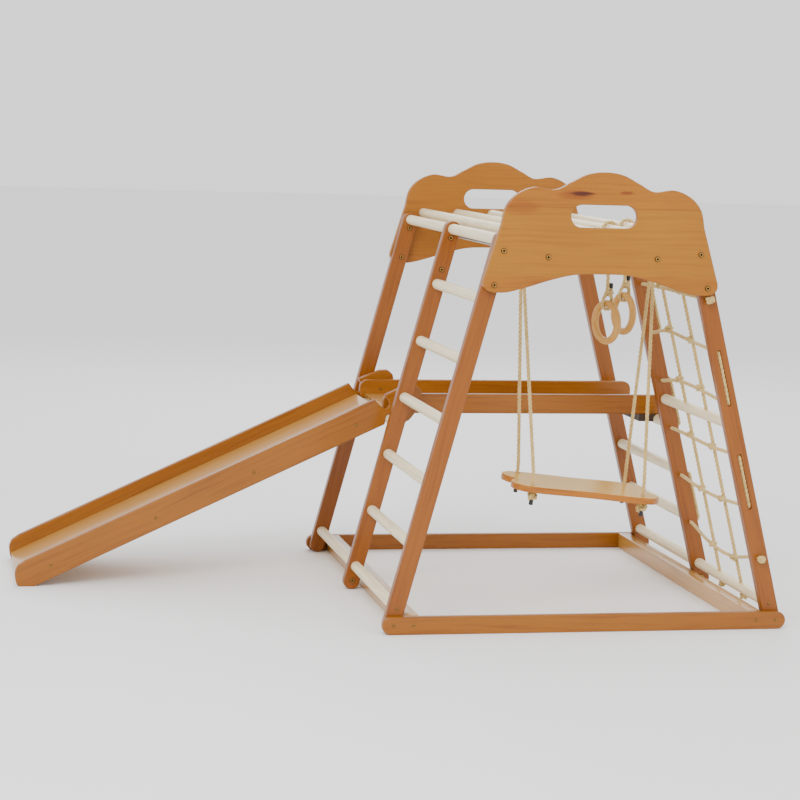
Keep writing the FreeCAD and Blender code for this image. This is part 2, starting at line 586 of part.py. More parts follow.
swing_ropes, binding_balls, seat_balls, tips = [], [], [], []
bar_z, loop_r = size("overhead_bar_z"), size("swing_loop_radius")
for side, name in ((-1, "swing_left_rope"), (1, "swing_right_rope")):
    bar_x = -size("swing_left_x") if side < 0 else size("swing_right_x")
    hole_x, hole_y = side * size("seat_hole_length") / 2, size("seat_hole_width") / 2
    outer = bar_x + side * loop_r
    k = 0.4142 * loop_r
    y1, y2 = -size("swing_y") - 5.2, -size("swing_y") + 5.2
    steps = [(outer, -k), (outer, k), (bar_x + side * k, loop_r), (bar_x - side * k, loop_r),
             (bar_x - side * loop_r, k), (bar_x - side * loop_r, -k), (bar_x - side * k, -loop_r)]
    route = [on_seat(hole_x, -hole_y, -24), on_seat(hole_x, -hole_y, size("seat_thick") + 12)]
    route.append(Vector(outer, y1, bar_z - 55))
    for i, (x, dz) in enumerate(steps):
        route.append(Vector(x, y1 + (y2 - y1) * i / (len(steps) - 1), bar_z + dz))
    route += [Vector(outer, y2, bar_z - loop_r), Vector(outer, y2, bar_z - 55)]
    route += [on_seat(hole_x, hole_y, size("seat_thick") + 12), on_seat(hole_x, hole_y, -24)]
    piece = node(name, rope(name, route))
    swing_ropes.append(piece)
    binding_balls.append(ball(name + "_binding", "binding_knot / 2", outer, "-swing_y", "overhead_bar_z - 38"))
    for sign in (-1, 1):
        under = on_seat(hole_x, sign * hole_y, -9)
        seat_balls.append(ball("%s_knot_%d" % (name, sign + 1), "seat_knot / 2", under.x, under.y, under.z))
        end = on_seat(hole_x, sign * hole_y, -24)
        tip = add("Part::Cylinder", "%s_tip_%d" % (name, sign + 1), Radius="rope_diameter / 2", Height="tip_length")
        down = on_seat(hole_x, sign * hole_y, -24 - size("tip_length"))
        tips.append(put(tip, down.x, down.y, down.z, seat_turn))
swing_seat = node("swing_seat", minus("swing_seat", seat_blank, swing_ropes))
node("swing_knots", compound("swing_knots", [
    minus("swing_bindings", compound("swing_binding_balls", binding_balls), swing_ropes),
    minus("swing_seat_knots", compound("swing_seat_balls", seat_balls), swing_ropes + [swing_seat])]))
node("swing_rope_tips", compound("swing_rope_tips", tips))

# ---------------------------------------------------------------- rings
for place, bar_x, y, z, turn, tip_side in (
        ("front", "swing_left_x", -size("ring_front_y"), "ring_front_z", "ring_front_turn", -1),
        ("back", "swing_right_x", -size("ring_back_y"), "ring_back_z", "ring_back_turn", 1)):
    x, centre_z, angle = size(bar_x), size(z), math.radians(size(turn))
    torus = add("Part::Torus", "%s_ring_blank" % place, Radius1="(ring_diameter - ring_bar) / 2", Radius2="ring_bar / 2")
    facing = Rotation(Vector(0, 0, 1), size(turn)).multiply(ABOUT_Y_TO_X)
    put(torus, bar_x, y, z, facing)
    node("%s_ring" % place, torus)
    top_z = centre_z + (size("ring_diameter") - size("ring_bar")) / 2
    hold = size("ring_bar") / 2 + rope_d / 2 + 0.4
    grip = size("bar_diameter") / 2 + rope_d / 2 + 0.5
    q, k = 0.4142 * hold, 0.4142 * grip
    route = [Vector(0, -9.6, top_z + 44)]
    turned = []
    for u, w in ((9.6, 40), (9.6, 26), (hold, q), (hold, -q), (q, -hold), (-q, -hold), (-hold, -q), (-hold, q),
                 (0, 30)):
        turned.append(Vector(x + u * math.cos(angle), y + u * math.sin(angle), top_z + w))
    upper = [Vector(x + u, y, bar_z + w) for u, w in ((0, -44), (-grip, -k), (-grip, k), (-k, grip), (k, grip),
                                                      (grip, k), (grip, -k), (10.2, -31), (10.2, -58))]
    ring_rope = node("%s_ring_rope" % place, rope("%s_ring_rope" % place, turned + upper))
    centre = Vector(x + 4.8 * math.cos(angle), y + 4.8 * math.sin(angle), top_z + 26)
    low_ball = ball("%s_ring_low_knot" % place, "ring_knot / 2", centre.x, centre.y, centre.z, POLES_ALONG_Y)
    high_ball = ball("%s_ring_high_knot" % place, "ring_knot / 2 + 0.7", x + 4.6, y + 0.3, bar_z - 41.3,
                     POLES_ALONG_Y)
    node("%s_ring_knots" % place, minus("%s_ring_knots" % place, compound("%s_ring_balls" % place,
                                                                           [low_ball, high_ball]), [ring_rope]))
    tip = add("Part::Cylinder", "%s_ring_tip" % place, Radius="rope_diameter / 2", Height="tip_length")
    end = turned[0]
    node("%s_ring_tip" % place, put(tip, end.x, end.y, end.z))

# ---------------------------------------------------------------- check and export
doc.recompute()
faults = []
for piece in doc.Objects:
    if any(word in piece.State for word in ("Invalid", "Error")):
        faults.append("%s is %s" % (piece.Name, piece.State))
for name, piece in NODES.items():
    if piece.Shape.isNull() or not piece.Shape.isValid() or not piece.Shape.Solids:
        faults.append("%s has no valid solid" % name)
if faults:
    raise RuntimeError("; ".join(faults))
os.makedirs("parts", exist_ok=True)
for name, piece in NODES.items():
    piece.Shape.exportStep("parts/%s.step" % name)
    extent = piece.Shape.BoundBox
    print("%-24s %2d solid(s) %6.0f cm3  x %7.1f %7.1f  y %7.1f %7.1f  z %7.1f %7.1f" % (
        name, len(piece.Shape.Solids), piece.Shape.Volume / 1000, extent.XMin, extent.XMax,
        extent.YMin, extent.YMax, extent.ZMin, extent.ZMax))
box_all = Part.makeCompound([piece.Shape for piece in NODES.values()]).BoundBox
print("nodes %d, x %.1f to %.1f, y %.1f to %.1f, z %.1f to %.1f" % (
    len(NODES), box_all.XMin, box_all.XMax, box_all.YMin, box_all.YMax, box_all.ZMin, box_all.ZMax))
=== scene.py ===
"""Looks of a wooden climbing frame for toddlers: slide, swing, grab rings, ladder, rope net and platform.

Laid out as a Blender add-on and run as a script. Metres, +X from the slide's foot to the frame, +Z up.
"""
import math
import random

import bmesh
import bpy
from mathutils import Matrix, Vector


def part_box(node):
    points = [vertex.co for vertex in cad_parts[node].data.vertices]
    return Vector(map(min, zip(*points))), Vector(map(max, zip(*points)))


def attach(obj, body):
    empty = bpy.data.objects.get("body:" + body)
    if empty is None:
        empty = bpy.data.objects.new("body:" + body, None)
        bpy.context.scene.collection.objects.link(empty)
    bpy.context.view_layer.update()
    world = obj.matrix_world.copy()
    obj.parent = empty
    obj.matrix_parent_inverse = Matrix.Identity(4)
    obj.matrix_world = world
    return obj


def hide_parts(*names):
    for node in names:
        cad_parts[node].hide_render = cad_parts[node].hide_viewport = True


bl_info = {
    "name": "Toddler Climbing Frame",
    "version": (1, 0, 0),
    "blender": (4, 5, 0),
    "location": "View3D > Sidebar > Climbing Frame",
    "description": "Builds the boards, bars, ropes, knots and fixings of a wooden climbing frame",
    "category": "Object",
}

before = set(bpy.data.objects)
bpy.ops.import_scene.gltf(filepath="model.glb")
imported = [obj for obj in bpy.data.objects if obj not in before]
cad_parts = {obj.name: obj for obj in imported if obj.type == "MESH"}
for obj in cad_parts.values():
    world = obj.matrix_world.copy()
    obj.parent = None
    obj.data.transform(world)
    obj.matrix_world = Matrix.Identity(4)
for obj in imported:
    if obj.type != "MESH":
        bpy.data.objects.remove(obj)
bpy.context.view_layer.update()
MM = 0.001
RAIL_LOW, RAIL_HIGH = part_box("near_floor_rail")
MIDDLE = Vector(((RAIL_LOW.x + RAIL_HIGH.x) / 2, 0, 0))


def linear(code):
    """An sRGB hex colour as linear values."""
    values = [int(code[i:i + 2], 16) / 255 for i in (1, 3, 5)]
    return [v / 12.92 if v <= 0.04045 else ((v + 0.055) / 1.055) ** 2.4 for v in values]


# ---------------------------------------------------------------------- settings
class ClimbingFrameSizes(bpy.types.PropertyGroup):
    """Sizes that a user may change; the outlines of the boards stand where each board is built."""
    edge_round: bpy.props.FloatProperty(
        name="Edge rounding", description="Radius sanded on the boards' edges", default=2.2 * MM,
        unit="LENGTH")
    bar_round: bpy.props.FloatProperty(
        name="Bar thickness", description="Diameter of the round bars", default=25 * MM, unit="LENGTH")
    rope_thick: bpy.props.FloatProperty(
        name="Rope thickness", description="Diameter of the laid rope", default=9 * MM, unit="LENGTH")
    rope_lay: bpy.props.FloatProperty(
        name="Lay length", description="Length in which a strand goes once round the rope",
        default=32 * MM, unit="LENGTH")
    grain_width: bpy.props.FloatProperty(
        name="Grain width", description="Typical width of one grain line across a board",
        default=7 * MM, unit="LENGTH")


class ClimbingFrameColours(bpy.types.PropertyGroup):
    """Colours of the finishes."""
    honey: bpy.props.FloatVectorProperty(
        name="Honey varnish", description="Varnished board, main colour", subtype="COLOR",
        default=linear("#8E5408"))
    honey_dark: bpy.props.FloatVectorProperty(
        name="Honey grain", description="Darker grain of the varnished board", subtype="COLOR",
        default=linear("#7A4206"))
    birch: bpy.props.FloatVectorProperty(
        name="Pale bar wood", description="Bare-looking turned bars", subtype="COLOR",
        default=linear("#EADAB2"))
    rope: bpy.props.FloatVectorProperty(
        name="Rope", description="Laid cotton and jute rope", subtype="COLOR", default=linear("#D0B272"))


# ---------------------------------------------------------------------- helpers
def add_node(tree, kind, settings=None, inputs=None, stops=()):
    """Add a node with its settings; an input is given a value or the socket that feeds it, and a colour
    ramp its (place, linear colour) stops.
    """
    made = tree.nodes.new(kind)
    for key, value in (settings or {}).items():
        setattr(made, key, value)
    for key, value in (inputs or {}).items():
        if isinstance(value, bpy.types.NodeSocket):
            tree.links.new(value, made.inputs[key])
        else:
            made.inputs[key].default_value = value
    if stops:
        elements = made.color_ramp.elements
        while len(elements) < len(stops):
            elements.new(0.5)
        for element, (place, colour) in zip(elements, stops):
            element.position = place
            element.color = (*colour, 1)
    return made


def at(x, y, z):
    """A point given in millimetres from the middle of the frame on the floor."""
    return MIDDLE + Vector((x, y, z)) * MM


ALONG, ACROSS, UP = Vector((1, 0, 0)), Vector((0, 1, 0)), Vector((0, 0, 1))


def sizes():
    """The sizes that a user may change."""
    return bpy.context.scene.climbing_frame_sizes


def linked(name, data):
    """A new object in the scene."""
    made = bpy.data.objects.new(name, data)
    bpy.context.collection.objects.link(made)
    return made


def placing(origin, along, across):
    """The matrix that lays a board's own X along, its Y across and its Z through the board."""
    along, across = along.normalized(), across.normalized()
    through = along.cross(across)
    made = Matrix((along, across, through)).transposed().to_4x4()
    made.translation = origin
    return made


def show(name, mesh, materials):
    """Put a mesh in the scene as an object at the origin."""
    mesh.materials.clear()
    for material in materials:
        mesh.materials.append(material)
    return linked(name, mesh)


def baked(source):
    """The evaluated result of an object as a plain mesh; the object goes away."""
    bpy.context.view_layer.update()
    graph = bpy.context.evaluated_depsgraph_get()
    mesh = bpy.data.meshes.new_from_object(source.evaluated_get(graph))
    bpy.data.objects.remove(source)
    return mesh


def closed_mesh(name, work):
    """A mesh of what was built in bmesh, with its faces pointing outwards."""
    bmesh.ops.recalc_face_normals(work, faces=work.faces)
    mesh = bpy.data.meshes.new(name)
    work.to_mesh(mesh)
    work.free()
    return mesh


def finish_piece(piece, body, nodes):
    """Tie a piece to its body and hide the CAD nodes it stands for."""
    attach(piece, body)
    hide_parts(*nodes)
    return piece


def keep_board(kind, name, mesh, material, body="frame"):
    """A finished board that stands for the CAD node of its own name."""
    finish_piece(show(kind + "_" + name, mesh, [MATERIALS[material]]), body, [name])


# ---------------------------------------------------------------------- outlines
def rounded(corners, steps=7):
    """A closed outline with its corners turned into arcs; corners are (x, y, radius), all in millimetres."""
    outline = []
    count = len(corners)
    for i, (x, y, radius) in enumerate(corners):
        here = Vector((x, y))
        before = Vector(corners[i - 1][:2]) - here
        after = Vector(corners[(i + 1) % count][:2]) - here
        half = before.angle(after) / 2
        if radius < 0.2 or half > 1.55:
            outline.append(here)
            continue
        reach = min(radius / math.tan(half), 0.49 * before.length, 0.49 * after.length)
        start, end = here + before.normalized() * reach, here + after.normalized() * reach
        for k in range(steps + 1):
            t = k / steps
            outline.append(start * (1 - t) ** 2 + here * 2 * t * (1 - t) + end * t ** 2)
    return outline


def arc(x, y, radius, start, end, steps=12):
    """Points of an arc, angles in degrees."""
    angles = [math.radians(start + (end - start) * k / steps) for k in range(steps + 1)]
    return [Vector((x + radius * math.cos(a), y + radius * math.sin(a))) for a in angles]


def stadium(length, width):
    """A bar with full round ends, from centre to centre of the ends, lying along X from 0."""
    return arc(0, 0, width / 2, 90, 270, 20) + arc(length, 0, width / 2, -90, 90, 20)


def flowing(points, closed=False, steps=8):
    """A smooth line through the points."""
    pts = [Vector(p) for p in points]
    count = len(pts)
    line = []
    for i in range(count if closed else count - 1):
        p1, p2 = pts[i], pts[(i + 1) % count]
        p0 = pts[i - 1] if closed or i > 0 else p1 * 2 - p2
        p3 = pts[(i + 2) % count] if closed or i < count - 2 else p2 * 2 - p1
        for k in range(steps):
            t = k / steps
            line.append(0.5 * (2 * p1 + (p2 - p0) * t + (2 * p0 - 5 * p1 + 4 * p2 - p3) * t ** 2
                               + (3 * p1 - 3 * p2 + p3 - p0) * t ** 3))
    if not closed:
        line.append(pts[-1])
    return line


def board_mesh(name, loops, thickness, place, seed, edge=None):
    """A flat board cut to the loops (millimetres), laid at place, with a grain UV along its X.

    Its edges are sanded to the user's radius, or to the one given. The grain starts somewhere else on each
    board; with no seed it starts at the board's own origin.
    """
    edge = edge or sizes().edge_round
    flat = bpy.data.curves.new(name, "CURVE")
    flat.dimensions = "2D"
    flat.fill_mode = "BOTH"
    flat.extrude = thickness * MM / 2 - edge
    flat.bevel_depth = edge
    flat.bevel_resolution = 2
    flat.offset = -edge
    for loop in loops:
        spline = flat.splines.new("POLY")
        spline.points.add(len(loop) - 1)
        for point, corner in zip(spline.points, loop):
            point.co = (corner.x * MM, corner.y * MM, 0, 1)
        spline.use_cyclic_u = True
    mesh = baked(linked(name, flat))
    work = bmesh.new()
    work.from_mesh(mesh)
    bmesh.ops.remove_doubles(work, verts=work.verts, dist=0.00002)
    bmesh.ops.dissolve_degenerate(work, edges=work.edges, dist=0.00002)
    bmesh.ops.recalc_face_normals(work, faces=work.faces)
    grain = work.loops.layers.uv.new("grain")
    chance = random.Random(seed)
    shift_u, shift_v = (chance.uniform(0, 9), chance.uniform(0, 9)) if seed else (0, 0)
    for face in work.faces:
        face.smooth = abs(face.normal.z) < 0.999
        for corner in face.loops:
            spot = corner.vert.co
            corner[grain].uv = (spot.x + shift_u, spot.y + spot.z + shift_v)
    work.to_mesh(mesh)
    work.free()
    mesh.transform(place)
    return mesh


# ---------------------------------------------------------------------- materials
WHITE = (1.0, 1.0, 1.0)
# Heights in metres between which a panel's glued planks are told apart, and half a glue line's width.
PLANK_LOW, PLANK_HIGH, GLUE_LINE = 0.7, 1.05, 0.0006
# Pattern repeats in a metre. Pores are 11 mm long and 0.8 mm wide, coarser than in birch so that they show;
# beech flecks are 4.5 mm wide and 110 mm long; rope fibres show as 4 mm streaks, nine round a strand.
PORE_REPEATS, FLECK_REPEATS, FIBRE_REPEATS = (90, 1300, 1), (220, 9, 220), (260, 9, 1)
# A grain line is this many times as long as it is wide.
GRAIN_STRETCH = 30
# Worn spots: 3 mm on plastic and steel, 2 mm on bronzed heads, 8 mm on the battens' wood, painted dark as
# shade.
WEAR, HEAD_WEAR, SHADED_BATTEN_WEAR = 350.0, 500.0, 120.0


def times(colour, factor):
    """A lighter or darker shade of a colour."""
    return [min(1, c * factor) for c in colour]


def toned(tree, colour, layers):
    """A colour with each (strength, tone) layer multiplied into it."""
    for strength, tone in layers:
        colour = add_node(tree, "ShaderNodeMix", {"data_type": "RGBA", "blend_type": "MULTIPLY"}, {
            0: strength, 6: colour, 7: tone}).outputs[2]
    return colour


def finish(name, recipe, *values, **more):
    """A material whose surface is what the recipe builds in its tree."""
    made = bpy.data.materials.new(name)
    made.use_nodes = True
    tree = made.node_tree
    tree.nodes.clear()
    shader = add_node(tree, "ShaderNodeBsdfPrincipled", inputs=recipe(tree, *values, **more))
    add_node(tree, "ShaderNodeOutputMaterial", inputs={"Surface": shader.outputs["BSDF"]})
    return made


def stained(tree, uv, wander, colour, marks):
    """Soft-edged stains and knot streaks laid over a board's colour."""
    for u, v, half_u, half_v, stain in marks:
        spot = add_node(tree, "ShaderNodeMapping", inputs={
            "Vector": uv, "Scale": (1 / half_u, 1 / half_v, 1),
            "Location": (-u / half_u, -v / half_v, 0)}).outputs["Vector"]
        torn = add_node(tree, "ShaderNodeVectorMath", {"operation": "ADD"}, {
            0: spot, 1: wander}).outputs["Vector"]
        moved = add_node(tree, "ShaderNodeVectorMath", {"operation": "SUBTRACT"}, {
            0: torn, 1: (0.5, 0.5, 0.5)}).outputs["Vector"]
        ball = add_node(tree, "ShaderNodeTexGradient", {"gradient_type": "SPHERICAL"}, {
            "Vector": moved}).outputs["Fac"]
        mark = add_node(tree, "ShaderNodeValToRGB", {}, {"Fac": ball}, [(0.02, WHITE), (0.5, stain)])
        colour = toned(tree, colour, [(1.0, mark.outputs["Color"])])
    return colour


def planked(tree, uv, colour, joints):
    """The planks that a panel is glued from: a fine dark line at each joint and a tone above it."""
    height = add_node(tree, "ShaderNodeSeparateXYZ", inputs={"Vector": uv}).outputs["Y"]
    part = add_node(tree, "ShaderNodeMapRange", inputs={
        "Value": height, "From Min": PLANK_LOW, "From Max": PLANK_HIGH}).outputs["Result"]
    stops, below = [], (0.95, 0.86, 0.76)
    span = PLANK_HIGH - PLANK_LOW
    for v, above in joints:
        place, line = (v - PLANK_LOW) / span, GLUE_LINE / span
        stops += [(place - line, below), (place, (0.66, 0.56, 0.46)), (place + line, above)]
        below = above
    planks = add_node(tree, "ShaderNodeValToRGB", {}, {"Fac": part}, stops)
    return toned(tree, colour, [(1.0, planks.outputs["Color"])])


def varnished(tree, light, dark, coat=0.42, gloss=0.2, marks=(), joints=()):
    """Birch board under honey varnish: long soft grain lines and fine pores under a satin film.

    Marks are (u, v, half length, half height, colour) in metres, joints are (v, tone above it).
    """
    uv = add_node(tree, "ShaderNodeUVMap", {"uv_map": "grain"}).outputs["UV"]
    across = 1 / sizes().grain_width
    lines = add_node(tree, "ShaderNodeMapping", inputs={
        "Vector": uv, "Scale": (across / GRAIN_STRETCH, across, 1)}).outputs["Vector"]
    bend = add_node(tree, "ShaderNodeTexNoise", inputs={
        "Vector": uv, "Scale": 4.0, "Detail": 2.0}).outputs["Fac"]
    bent = add_node(tree, "ShaderNodeVectorMath", {"operation": "MULTIPLY_ADD"}, {
        0: bend, 1: (0.0, 4.0, 0.0), 2: lines}).outputs["Vector"]
    grain = add_node(tree, "ShaderNodeTexNoise", inputs={
        "Vector": bent, "Scale": 1.0, "Detail": 4.0, "Roughness": 0.6}).outputs["Fac"]
    base = add_node(tree, "ShaderNodeValToRGB", {}, {"Fac": grain}, [
        (0.25, dark), (0.5, light), (0.78, times(light, 1.1))]).outputs["Color"]
    cloud = add_node(tree, "ShaderNodeTexNoise", inputs={
        "Vector": uv, "Scale": 3.0, "Detail": 3.0}).outputs["Fac"]
    tone = add_node(tree, "ShaderNodeValToRGB", {}, {"Fac": cloud}, [
        (0.3, (0.86, 0.80, 0.72)), (0.65, WHITE)]).outputs["Color"]
    pores = add_node(tree, "ShaderNodeMapping", inputs={
        "Vector": uv, "Scale": PORE_REPEATS}).outputs["Vector"]
    fine = add_node(tree, "ShaderNodeTexNoise", inputs={
        "Vector": pores, "Scale": 1.0, "Detail": 2.0}).outputs["Fac"]
    fibre = add_node(tree, "ShaderNodeValToRGB", {}, {"Fac": fine}, [
        (0.32, (0.84, 0.78, 0.70)), (0.5, WHITE)]).outputs["Color"]
    wander = add_node(tree, "ShaderNodeTexNoise", inputs={
        "Vector": lines, "Scale": 2.0, "Detail": 2.0}).outputs["Color"]
    colour = stained(tree, uv, wander, toned(tree, base, [(0.7, tone), (0.5, fibre)]), marks)
    if joints:
        colour = planked(tree, uv, colour, joints)
    bump = add_node(tree, "ShaderNodeBump", inputs={"Height": fine, "Strength": 0.06, "Distance": 0.0004})
    rough = add_node(tree, "ShaderNodeMapRange", inputs={
        "Value": grain, "To Min": gloss - 0.04, "To Max": gloss + 0.06}).outputs["Result"]
    return {"Base Color": colour, "Roughness": 0.5, "Normal": bump.outputs["Normal"], "IOR": 1.5,
            "Specular IOR Level": 0.2, "Coat Weight": coat, "Coat Roughness": rough}


def turned(tree, light):
    """Turned bar wood, nearly white: faint flecks along the bar under a thin satin lacquer."""
    spot = add_node(tree, "ShaderNodeTexCoord").outputs["Object"]
    fleck = add_node(tree, "ShaderNodeMapping", inputs={
        "Vector": spot, "Scale": FLECK_REPEATS}).outputs["Vector"]
    grain = add_node(tree, "ShaderNodeTexNoise", inputs={
        "Vector": fleck, "Scale": 1.0, "Detail": 3.0}).outputs["Fac"]
    colour = add_node(tree, "ShaderNodeValToRGB", {}, {"Fac": grain}, [
        (0.3, times(light, 0.80)), (0.55, light), (0.8, times(light, 1.05))]).outputs["Color"]
    bump = add_node(tree, "ShaderNodeBump", inputs={"Height": grain, "Strength": 0.05, "Distance": 0.0004})
    return {"Base Color": colour, "Roughness": 0.42, "Normal": bump.outputs["Normal"], "IOR": 1.5,
            "Coat Weight": 0.15, "Coat Roughness": 0.3}


def laid(tree, colour):
    """Three-strand rope of cotton and jute: matt fibres along the strands, darker between them."""
    along = add_node(tree, "ShaderNodeAttribute", {"attribute_name": "along"}).outputs["Fac"]
    around = add_node(tree, "ShaderNodeAttribute", {"attribute_name": "around"}).outputs["Fac"]
    spot = add_node(tree, "ShaderNodeCombineXYZ", inputs={"X": along, "Y": around}).outputs["Vector"]
    thread = add_node(tree, "ShaderNodeMapping", inputs={
        "Vector": spot, "Scale": FIBRE_REPEATS, "Rotation": (0, 0, 0.02)}).outputs["Vector"]
    fibre = add_node(tree, "ShaderNodeTexNoise", inputs={
        "Vector": thread, "Scale": 1.0, "Detail": 3.0, "Roughness": 0.65}).outputs["Fac"]
    shade = add_node(tree, "ShaderNodeValToRGB", {}, {"Fac": fibre}, [
        (0.25, times(colour, 0.52)), (0.5, colour), (0.8, times(colour, 1.25))]).outputs["Color"]
    place = add_node(tree, "ShaderNodeTexCoord").outputs["Object"]
    patch = add_node(tree, "ShaderNodeTexNoise", inputs={
        "Vector": place, "Scale": 60.0, "Detail": 2.0}).outputs["Fac"]
    worn = add_node(tree, "ShaderNodeValToRGB", {}, {"Fac": patch}, [
        (0.35, (0.86, 0.84, 0.74)), (0.6, WHITE)]).outputs["Color"]
    bump = add_node(tree, "ShaderNodeBump", inputs={"Height": fibre, "Strength": 0.5, "Distance": 0.0005})
    return {"Base Color": toned(tree, shade, [(1.0, worn)]), "Roughness": 0.9, "IOR": 1.46,
            "Normal": bump.outputs["Normal"], "Sheen Weight": 0.25, "Sheen Roughness": 0.5}


def plain(tree, colour, roughness, metallic=0.0, scale=WEAR):
    """A metal or plastic face, or wood painted dark as shade, with small wear marks in its colour and gloss.
    """
    spot = add_node(tree, "ShaderNodeTexCoord").outputs["Object"]
    marks = add_node(tree, "ShaderNodeTexNoise", inputs={
        "Vector": spot, "Scale": scale, "Detail": 3.0}).outputs["Fac"]
    shade = add_node(tree, "ShaderNodeValToRGB", {}, {"Fac": marks}, [
        (0.35, times(colour, 0.75)), (0.65, colour)]).outputs["Color"]
    rough = add_node(tree, "ShaderNodeMapRange", inputs={
        "Value": marks, "To Min": roughness - 0.08, "To Max": roughness + 0.1}).outputs["Result"]
    return {"Base Color": shade, "Roughness": rough, "Metallic": metallic}


def bronzed(tree):
    """Bronzed steel head by the distance from its axis: a brassy worn face, with painted shade as black in
    the socket and as a dark brown ring towards the rim.
    """
    out = add_node(tree, "ShaderNodeAttribute", {"attribute_name": "from_axis"}).outputs["Fac"]
    spot = add_node(tree, "ShaderNodeTexCoord").outputs["Object"]
    marks = add_node(tree, "ShaderNodeTexNoise", inputs={
        "Vector": spot, "Scale": HEAD_WEAR, "Detail": 3.0}).outputs["Fac"]
    # Painted shade: black over the socket's hollow and a dark brown shadow ring towards the rim; the brass
    # between is the head's own colour.
    face_and_painted_shade = add_node(tree, "ShaderNodeValToRGB", {}, {"Fac": out}, [
        (0.0, linear("#080604")), (0.36, linear("#100C08")), (0.46, linear("#A87C3C")),
        (0.74, linear("#B08848")), (0.86, linear("#4A2E12")), (1.0, linear("#2C1A0A"))]).outputs["Color"]
    worn = add_node(tree, "ShaderNodeValToRGB", {}, {"Fac": marks}, [
        (0.35, (0.7, 0.66, 0.6)), (0.6, WHITE)]).outputs["Color"]
    rough = add_node(tree, "ShaderNodeMapRange", inputs={
        "Value": marks, "To Min": 0.3, "To Max": 0.5}).outputs["Result"]
    return {"Base Color": toned(tree, face_and_painted_shade, [(1.0, worn)]), "Roughness": rough, "Metallic": 0.8}


MATERIALS = {}
PANEL_MARKS = (
    (-0.052, 0.988, 0.034, 0.0065, (0.28, 0.13, 0.06)),
    (-0.066, 0.985, 0.05, 0.013, (0.8, 0.62, 0.45)),
    (0.048, 0.992, 0.02, 0.005, (0.66, 0.44, 0.28)),
    (-0.192, 0.956, 0.055, 0.02, (0.84, 0.68, 0.5)),
    (-0.1, 0.79, 0.09, 0.012, (0.88, 0.74, 0.6)),
)
PANEL_JOINTS = ((0.806, WHITE), (0.957, (0.98, 0.9, 0.84)))


def make_materials():
    """Every finish of the object, once."""
    colours = bpy.context.scene.climbing_frame_colours
    honey, honey_dark = list(colours.honey), list(colours.honey_dark)
    for key, name, light, dark, more in (
            ("board", "honey_varnished_birch_board", honey, honey_dark, {}),
            ("upright", "honey_varnished_pine_upright", linear("#864A06"), linear("#723A04"), {}),
            ("panel", "honey_varnished_glued_panel", linear("#9A620A"), linear("#8A5408"),
             {"coat": 0.35, "gloss": 0.3, "marks": PANEL_MARKS, "joints": PANEL_JOINTS}),
            ("slide", "glossy_varnished_slide_board", linear("#B8863A"), linear("#A27028"),
             {"coat": 1.0, "gloss": 0.13}),
            ("seat_top", "pale_varnished_seat_face", linear("#D0A23A"), linear("#B48228"), {"coat": 0.4}),
            # The seat's edge is a darker copy of the seat's varnish: painted shade on its sides.
            ("seat_edge", "seat_edge_painted_shade", linear("#A8640C"), linear("#864806"), {}),
            ("ring", "varnished_ring_wood", linear("#C69448"), linear("#AE7A34"), {})):
        MATERIALS[key] = finish(name, varnished, light, dark, **more)
    MATERIALS["bar"] = finish("turned_pale_beech", turned, list(colours.birch))
    MATERIALS["rope"] = finish("laid_cotton_jute_rope", laid, list(colours.rope))
    MATERIALS["tip"] = finish("black_shrink_sleeve", plain, linear("#141312"), 0.45)
    MATERIALS["bronze"] = finish("bronzed_steel_head", bronzed)
    # The battens' dark brown is painted shade: they sit in the shade under the deck.
    MATERIALS["dark"] = finish("batten_painted_shade", plain, linear("#3A2412"), 0.6, scale=SHADED_BATTEN_WEAR)
    MATERIALS["steel"] = finish("plain_steel_rod", plain, linear("#9C9C98"), 0.35, 1.0)


# ---------------------------------------------------------------------- geometry trees
def new_tree(name, inputs):
    """A geometry node group with named inputs; gives the tree, its input node and its output node."""
    tree = bpy.data.node_groups.new(name, "GeometryNodeTree")
    tree.interface.new_socket("Geometry", in_out="OUTPUT", socket_type="NodeSocketGeometry")
    tree.interface.new_socket("Geometry", in_out="INPUT", socket_type="NodeSocketGeometry")
    for label, kind in inputs:
        tree.interface.new_socket(label, in_out="INPUT", socket_type=kind)
    return tree, add_node(tree, "NodeGroupInput"), add_node(tree, "NodeGroupOutput")


def end_tree(tree, entry, end, geometry, smooth=True):
    """Close a tree: real geometry, smooth faces and the finish."""
    real = add_node(tree, "GeometryNodeRealizeInstances", inputs={"Geometry": geometry})
    soft = add_node(tree, "GeometryNodeSetShadeSmooth", inputs={
        "Geometry": real.outputs["Geometry"], "Shade Smooth": smooth})
    coat = add_node(tree, "GeometryNodeSetMaterial", inputs={
        "Geometry": soft.outputs["Geometry"], "Material": entry.outputs["Finish"]})
    tree.links.new(coat.outputs["Geometry"], end.inputs["Geometry"])


def bar_tree():
    """Round bars along Y, one at each point."""
    tree, entry, end = new_tree("round_bars", [
        ("Length", "NodeSocketFloat"), ("Thickness", "NodeSocketFloat"), ("Finish", "NodeSocketMaterial")])
    reach = add_node(tree, "ShaderNodeCombineXYZ", inputs={"Y": entry.outputs["Length"]})
    line = add_node(tree, "GeometryNodeCurvePrimitiveLine", inputs={"End": reach.outputs["Vector"]})
    steps = add_node(tree, "GeometryNodeResampleCurve", inputs={
        "Curve": line.outputs["Curve"], "Count": 12})
    half = add_node(tree, "ShaderNodeMath", {"operation": "DIVIDE"}, {0: entry.outputs["Thickness"], 1: 2.0})
    ring = add_node(tree, "GeometryNodeCurvePrimitiveCircle", inputs={
        "Resolution": 40, "Radius": half.outputs["Value"]})
    solid = add_node(tree, "GeometryNodeCurveToMesh", inputs={
        "Curve": steps.outputs["Curve"], "Profile Curve": ring.outputs["Curve"], "Fill Caps": True})
    placed = add_node(tree, "GeometryNodeInstanceOnPoints", inputs={
        "Points": entry.outputs["Geometry"], "Instance": solid.outputs["Mesh"]})
    end_tree(tree, entry, end, placed.outputs["Instances"])
    return tree


